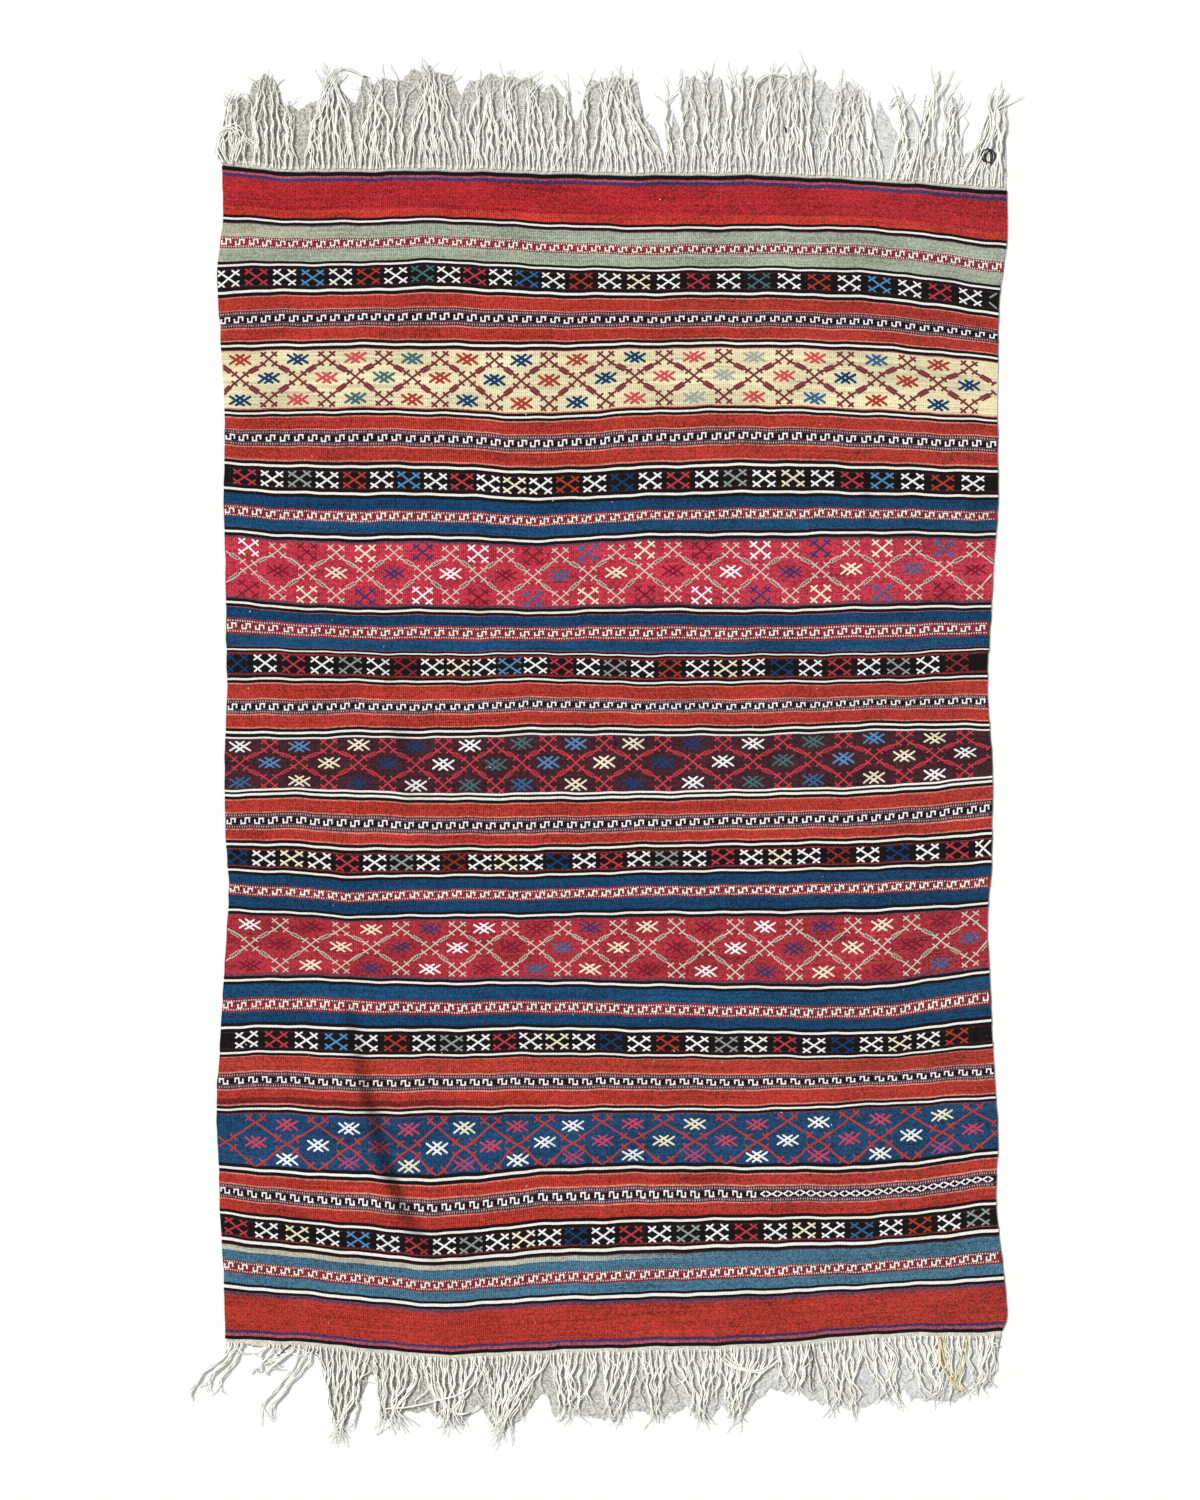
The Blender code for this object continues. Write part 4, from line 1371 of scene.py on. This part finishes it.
def make_bands(material):
    """One piece for each brocaded band, with the guards beside it, and for each lone guard."""
    rows = list(chart_rows())
    crosses, lattices = iter(CROSS_ROWS), iter(LATTICE_BANDS)
    pieces = []
    taken = set()
    for number, (kind, yarn, upper, lower) in enumerate(rows):
        if kind in ("line", "field") or "guard" in kind:
            continue
        weaving = Weaving(seed=100 + number)
        if "meander" in kind:
            weave_meander(weaving, kind, yarn, upper, lower)
        elif kind == "crosses":
            weave_crosses(weaving, upper, lower, next(crosses))
        else:
            weave_lattice(weaving, upper, lower, next(lattices))
        for beside in (number - 2, number - 1, number + 1, number + 2):
            if "guard" in rows[beside][0] and beside not in taken:
                taken.add(beside)
                weaving.guard_cords(*rows[beside])
        title = "meander" if "meander" in kind else kind
        pieces.append(woven_piece(f"band_{len(pieces) + 1:02d}_{title}", weaving, material))
    lone = [row for number, row in enumerate(rows) if "guard" in row[0] and number not in taken]
    for number, row in enumerate(lone):
        weaving = Weaving(seed=50 + number)
        weaving.guard_cords(*row)
        pieces.append(woven_piece(f"guard_line_{number + 1}", weaving, material))
    return pieces


def scatter_lint(material):
    """Small pale flecks of lint caught in the cloth."""
    weaving = Weaving(seed=5)
    for _ in range(LINT_FLECKS):
        x, place = weaving.random.uniform(*LINT_FIELD)
        turn, length = weaving.random.uniform(0, pi), weaving.random.uniform(1.2, 3.4)
        run = np.array([np.cos(turn), np.sin(turn)]) * length / 2
        weaving.stroke((x - run[0], place - run[1]), (x + run[0], place + run[1]), "ivory",
                       weaving.random.uniform(0.9, 1.7), 1.3, 0.5)
    return woven_piece("lint_flecks", weaving, material)


# ---------------------------------------------------------------- heading and fringe

def end_height(x, place):
    """Y in the frame of the cloth's end at X, in millimetres."""
    x = np.atleast_1d(np.asarray(x, float))
    return lay(np.column_stack([x, np.full_like(x, place), np.zeros_like(x)]))[:, 1] / MM


def end_piece(name, rows, colours, outward, material, ruled=None):
    """A strip along one end, from rows of points that start at the cloth.

    ruled are flat points that stand in for the strip's own in its map, where its rows may cross.
    """
    if outward > 0:
        rows = rows[::-1]
    positions = np.concatenate(rows)
    faces = grid_faces(len(rows), len(rows[0]))
    weave_uv = positions[faces][:, :, :2] * MM
    flat = positions[:, :2] if ruled is None else ruled
    piece = make_mesh(name, positions * MM, faces, colours.reshape(-1, 3), weave_uv,
                      unfold(flat[faces], flat), material)
    return piece


def make_heading(name, place, outward, seed, material):
    """The strip of bare warps and cream wefts at one end, ribbed by its warps."""
    random = np.random.default_rng(seed)
    left, right = selvedge_pair(place)
    x = np.linspace(left + HEADING_INSET, right - HEADING_INSET, HEADING_RIBS * RIB_STEPS + 1)
    base = end_height(x, place) + outward * HEADING_GAP

    def each_rib(values):
        return np.repeat(values, RIB_STEPS)[:len(x)]

    rib = np.abs(np.sin(np.arange(len(x)) * pi / RIB_STEPS))
    rib *= each_rib(random.normal(1, 0.25, HEADING_RIBS + 1))
    rows = []
    for share, height, wander in HEADING_SECTION:
        loose = each_rib(random.normal(0, 1, HEADING_RIBS + 1)) * wander
        y = base + outward * (HEADING_WIDTH * share + loose)
        z = np.maximum(height * (0.72 + 0.28 * rib), 0.15)
        rows.append(np.column_stack([x + SHIFT[0] / MM, y, z]))
    bands = random.normal(0, 1, (len(rows) - 1, HEADING_RIBS + 1, 1))
    light = np.repeat(0.86 + 0.1 * bands, RIB_STEPS, axis=1)[:, :len(x) - 1]
    ruled = np.stack(np.meshgrid(x, np.linspace(0, 20, len(rows))), axis=-1).reshape(-1, 2)
    return end_piece(name, rows, linear_colour("heading") * light, outward, material, ruled)


class Fringe:
    """Yarns of one end, gathered as tubes."""

    def __init__(self, place, outward, seed):
        self.place, self.outward = place, outward
        self.random = np.random.default_rng(seed)
        self.yarns = []

    def add(self, path, radius, yarn="warp", twist=TWIST):
        """A twisted two-ply yarn along a path of positions in millimetres of the frame."""
        # Painted light: each yarn is made brighter than its own colour
        shade = linear_colour(yarn) * (YARN_PAINTED_LIGHT + self.random.normal(0, 0.05))
        self.yarns.append((path, radius, shade, twist, self.random.uniform(0, 2 * pi)))

    def tube(self, number, path, radius, shade, twist, phase):
        """Points, faces, colours and both maps of one yarn, which thins out at its tip."""
        share = np.linspace(0, 1, len(path))
        around = np.arange(YARN_SIDES) * 2 * pi / YARN_SIDES
        ahead = np.gradient(path, axis=0)
        ahead /= np.linalg.norm(ahead, axis=1)[:, None]
        side = np.cross(ahead, (0, 0, 1.0))
        side /= np.linalg.norm(side, axis=1)[:, None]
        rise = np.cross(side, ahead)
        plies = 0.84 + 0.16 * np.cos(2 * (around[None] - (phase + twist * share)[:, None]))
        ring = (radius * (1 - 0.55 * share ** 5))[:, None] * plies
        points = (path[:, None] + side[:, None] * (ring * np.cos(around))[:, :, None]
                  + rise[:, None] * (ring * np.sin(around))[:, :, None])
        points[:, :, 2] = np.maximum(points[:, :, 2], FLOOR_GAP)
        index = np.arange(ring.size).reshape(ring.shape)
        wrapped = np.roll(index, -1, axis=1)
        faces = np.stack([index[:-1], wrapped[:-1], wrapped[1:], index[1:]], axis=-1)
        fade = 1 + self.random.normal(0, 0.035, (len(path) - 1, 1))
        colours = np.repeat(shade * fade, YARN_SIDES, axis=0)

        length = np.linalg.norm(np.diff(path, axis=0), axis=1).sum()
        u, v = np.meshgrid(np.arange(YARN_SIDES + 1) / YARN_SIDES, share)
        weave = np.stack([u * 2 * pi * radius + number * 7, v * length], axis=-1) * MM
        bake = np.stack([(number + 0.1 + 0.8 * u) / len(self.yarns), v * 0.98 + 0.01], axis=-1)
        maps = (np.stack([uv[:-1, :-1], uv[:-1, 1:], uv[1:, 1:], uv[1:, :-1]], axis=2)
                for uv in (weave, bake))
        return (points.reshape(-1, 3), faces.reshape(-1, 4), colours,
                *(uv.reshape(-1, 4, 2) for uv in maps))

    def build(self, name, material):
        """All the yarns as one piece."""
        tubes = [self.tube(number, *yarn) for number, yarn in enumerate(self.yarns)]
        points, faces, *looks = zip(*tubes)
        firsts = np.cumsum([0] + [len(part) for part in points[:-1]])
        faces = np.concatenate([part + first for part, first in zip(faces, firsts)])
        looks = [np.concatenate(parts) for parts in looks]
        piece = make_mesh(name, np.concatenate(points) * MM, faces, *looks, material)
        return piece


def grow_strand(fringe, root, tip, reach, sway, yarns, wander):
    """One strand from the heading to its tip: its yarns twine, then part and curl at the end."""
    random = fringe.random
    share = np.linspace(0, 1, YARN_SECTIONS)
    wave, bends = random.uniform(0, 2 * pi), random.uniform(1.4, 3.2)
    swing, curl = random.normal(0, wander), random.normal(0, wander * 0.4)
    size, *lengths = KINK
    kinks = reach / random.uniform(*lengths)
    centre = root + (tip - root) * ease(share) + sway * np.sin(pi * share)
    centre += swing * (np.sin(pi * share * bends + wave) - np.sin(wave)) * share ** 0.5
    centre += curl * np.sin(13 * share + wave) * share
    centre += size * np.sin(2 * pi * share * kinks + 2 * wave) * np.clip(share * 5, 0, 1)
    base = end_height(root, fringe.place)[0]
    lift = random.uniform(0, 1.6)
    turns = random.uniform(1.2, 2.4)
    for yarn in range(yarns):
        apart = (yarn - (yarns - 1) / 2) * random.uniform(2.2, 3.6)
        twine = 2 * pi * (share * turns + yarn / yarns)
        hook = np.clip(share - 0.8, 0, 1) ** 1.6 * random.normal(0, 90)
        x = centre + apart * np.exp(-share * 6) + hook
        if yarns > 1:
            x = x + 1.15 * np.cos(twine)
        size, *lengths = CRIMP
        crimps = reach / (2 * random.uniform(*lengths))
        x = x + size * np.sin(2 * pi * (share * crimps + random.uniform()))
        run = share * reach * (1 - 0.08 * random.uniform())
        out = HEADING_WIDTH - ROOT_OVERLAP + run - abs(hook) * 0.3
        rise = np.sin(pi * np.clip(share * 1.6, 0, 0.5))
        z = STRAND_HEIGHT + lift * np.sin(pi * share) + 0.8 * (1 + np.sin(twine)) * rise
        path = np.column_stack([x + SHIFT[0] / MM, base + fringe.outward * out, z])
        fringe.add(path, YARN_RADIUS * random.uniform(0.8, 1.1) * (1 if yarns > 1 else 0.75))
    return path[-3:]


def fray(fringe, path):
    """A few loose fibres past the end of a yarn."""
    random = fringe.random
    for _ in range(2):
        way = (path[-1] - path[0]) * random.uniform(0.5, 1.6)
        way += np.append(random.normal(0, 2.2, 2), -path[-1, 2] / 2)
        share = np.linspace(0, 1, 5)[:, None]
        bend = np.append(random.normal(0, 1.6, 2), 0) * np.sin(pi * share)
        fringe.add(path[-1] + way * share + bend, FIBRE_RADIUS, twist=3)


def grow_tufts(fringe, tufts, outline):
    """Strands fanning from the heading and gathering to their tufts' tips, and stray yarns."""
    random = fringe.random
    edges = [-np.inf, *(edge for tuft in tufts for edge in tuft[:2]), np.inf]
    for number, (root_from, root_to, tip_from, tip_to, length, sway) in enumerate(tufts):
        before, after = edges[2 * number], edges[2 * number + 3]
        if root_from - before < ROOT_GAP:
            root_from = (root_from + before) / 2
        if after - root_to < ROOT_GAP:
            root_to = (root_to + after) / 2
        strands = max(1, round((root_to - root_from) / STRAND_PITCH))
        order = random.permutation(strands) if strands > 3 else np.arange(strands)
        for strand in range(strands):
            root = root_from + (root_to - root_from) * (strand + 0.5) / strands
            mingle = 0.7 * strand + 0.3 * order[strand]
            tip = tip_from + (tip_to - tip_from) * (mingle + 0.5) / strands
            reach = length * (1.08 - 0.28 * random.uniform() ** 2)
            yarns = int(random.choice((2, 2, 2, 3)))
            fray(fringe, grow_strand(fringe, root, tip, reach, sway, yarns, STRAND_WANDER))
        for _ in range(round((root_to - root_from) / STRAY_PITCH)):
            root = random.uniform(root_from, root_to)
            tip = root + random.normal(0, 10)
            reach = max(20, np.interp(tip, *zip(*outline)) * random.uniform(0.6, 1.04))
            grow_strand(fringe, root, tip, reach, 0, 1, STRAY_WANDER)


def lay_strands(fringe, strands):
    """Strands that loop, cross or hang where their table says."""
    share = np.linspace(0, 1, YARN_SECTIONS)
    for yarn, radius, count, way in strands:
        knots = np.linspace(0, 1, len(way))
        xs, runs = zip(*way)
        for number in range(count):
            aside = (number - (count - 1) / 2) * radius * 2.4
            loose = fringe.random.normal(0, 1.2, (2, len(way)))
            x = smooth_curve(knots, xs + loose[0] + aside, share)
            run = smooth_curve(knots, runs + loose[1] - abs(aside), share)
            y = end_height(x, fringe.place) + fringe.outward * run
            z = radius + CROSSING_HEIGHT + 1.2 * np.sin(pi * share + number)
            z[-4:] *= np.linspace(1, 0.6, 4)
            fringe.add(np.column_stack([x + SHIFT[0] / MM, y, z]), radius, yarn)


def make_shade_felt(name, place, outward, outline, seed, material):
    """A thin grey felt under the strands, painted shade for the shadowed floor between them, ragged,
    and as long as the outline says.
    """
    random = np.random.default_rng(seed)
    x = np.arange(outline[0][0], outline[-1][0], SHADE_FELT_PITCH)
    knots = np.arange(x[0], x[-1] + 9, 9)
    ragged = random.uniform(0, 4, len(x)) + smooth_curve(knots, random.normal(0, 4, len(knots)), x)
    reach = np.maximum(SHADE_FELT_REACH * np.interp(x, *zip(*outline)) - ragged, 1.0)
    base = end_height(x, place)
    rows = []
    for share in np.linspace(0, 1, SHADE_FELT_ROWS):
        edge = share in (0, 1)
        aside = random.normal(0, 0.1 if edge else 0.5, len(x))
        y = base + outward * (HEADING_WIDTH - 2 + share * reach)
        z = np.full_like(x, FLOOR_GAP) if edge else random.uniform(0.4, 1.5, len(x))
        rows.append(np.column_stack([x + aside + SHIFT[0] / MM, y, z]))
    # Painted shade: darker at the left, paler to the right
    paler = np.clip((x[1:] + 500) / 1000, 0, 1)[:, None]
    shade = linear_colour("shade_felt") * (1 - paler) + linear_colour("pale_shade_felt") * paler
    colours = shade * (1 + random.normal(0, 0.07, (len(rows) - 1, len(x) - 1, 1)))
    return end_piece(name, rows, colours, outward, material)


# ---------------------------------------------------------------- stage

def make_floor():
    """A pale, matt floor."""
    corners = [(sx * FLOOR_HALF_SIZE, sy * FLOOR_HALF_SIZE, 0)
               for sx, sy in ((-1, -1), (1, -1), (1, 1), (-1, 1))]
    mesh = bpy.data.meshes.new("floor")
    mesh.from_pydata(corners, [], [(0, 1, 2, 3)])
    material = bpy.data.materials.new("pale_floor")
    material.use_nodes = True
    shader = material.node_tree.nodes["Principled BSDF"]
    shader.inputs["Base Color"].default_value = FLOOR_COLOUR
    shader.inputs["Roughness"].default_value = 0.9
    mesh.materials.append(material)
    floor = bpy.data.objects.new("floor", mesh)
    bpy.context.scene.collection.objects.link(floor)


def make_light():
    """A soft sky and a broad light from the upper left."""
    world = bpy.data.worlds.new("soft_sky")
    world.use_nodes = True
    sky = world.node_tree.nodes["Background"]
    sky.inputs["Color"].default_value = (1, 1, 1, 1)
    sky.inputs["Strength"].default_value = SKY_STRENGTH
    bpy.context.scene.world = world

    light = bpy.data.lights.new("window_light", "SUN")
    light.energy = SUN_STRENGTH
    light.angle = SUN_ANGLE
    lamp = bpy.data.objects.new("window_light", light)
    lamp.location = SUN_FROM
    lamp.rotation_euler = (-lamp.location).to_track_quat("-Z", "Y").to_euler()
    bpy.context.scene.collection.objects.link(lamp)


def make_camera():
    """A view straight down on the middle of the rug."""
    camera = bpy.data.cameras.new("camera")
    camera.lens = LENS
    camera.clip_end = 100
    viewer = bpy.data.objects.new("camera", camera)
    viewer.location = (SHIFT[0], SHIFT[1], VIEW_HEIGHT * camera.lens / camera.sensor_width)
    bpy.context.scene.collection.objects.link(viewer)
    bpy.context.scene.camera = viewer
    bpy.context.scene.view_settings.view_transform = "Standard"


def main():
    """Make the cloth with its brocade, both ends and the stage."""
    wools = {name: wool_material(name, *values) for name, values in WOOLS.items()}
    cloth = make_ground_cloth(wools["weft_faced_wool"])
    bands = make_bands(wools["brocade_wool"])
    bands.append(scatter_lint(wools["brocade_wool"]))
    for node, place, outward, tufts, strands, outline, seeds in ENDS:
        make_heading(f"{node}_heading", place, outward, seeds[0], wools["warp_wool"])
        fringe = Fringe(place, outward, seeds[1])
        grow_tufts(fringe, tufts, outline)
        lay_strands(fringe, strands)
        piece = fringe.build(f"{node}_yarns", wools["warp_wool"])
        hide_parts(node)
        make_shade_felt(f"{node}_fluff", place, outward, outline, seeds[2], wools["shade_felt_wool"])
    make_floor()
    make_light()
    make_camera()


main()
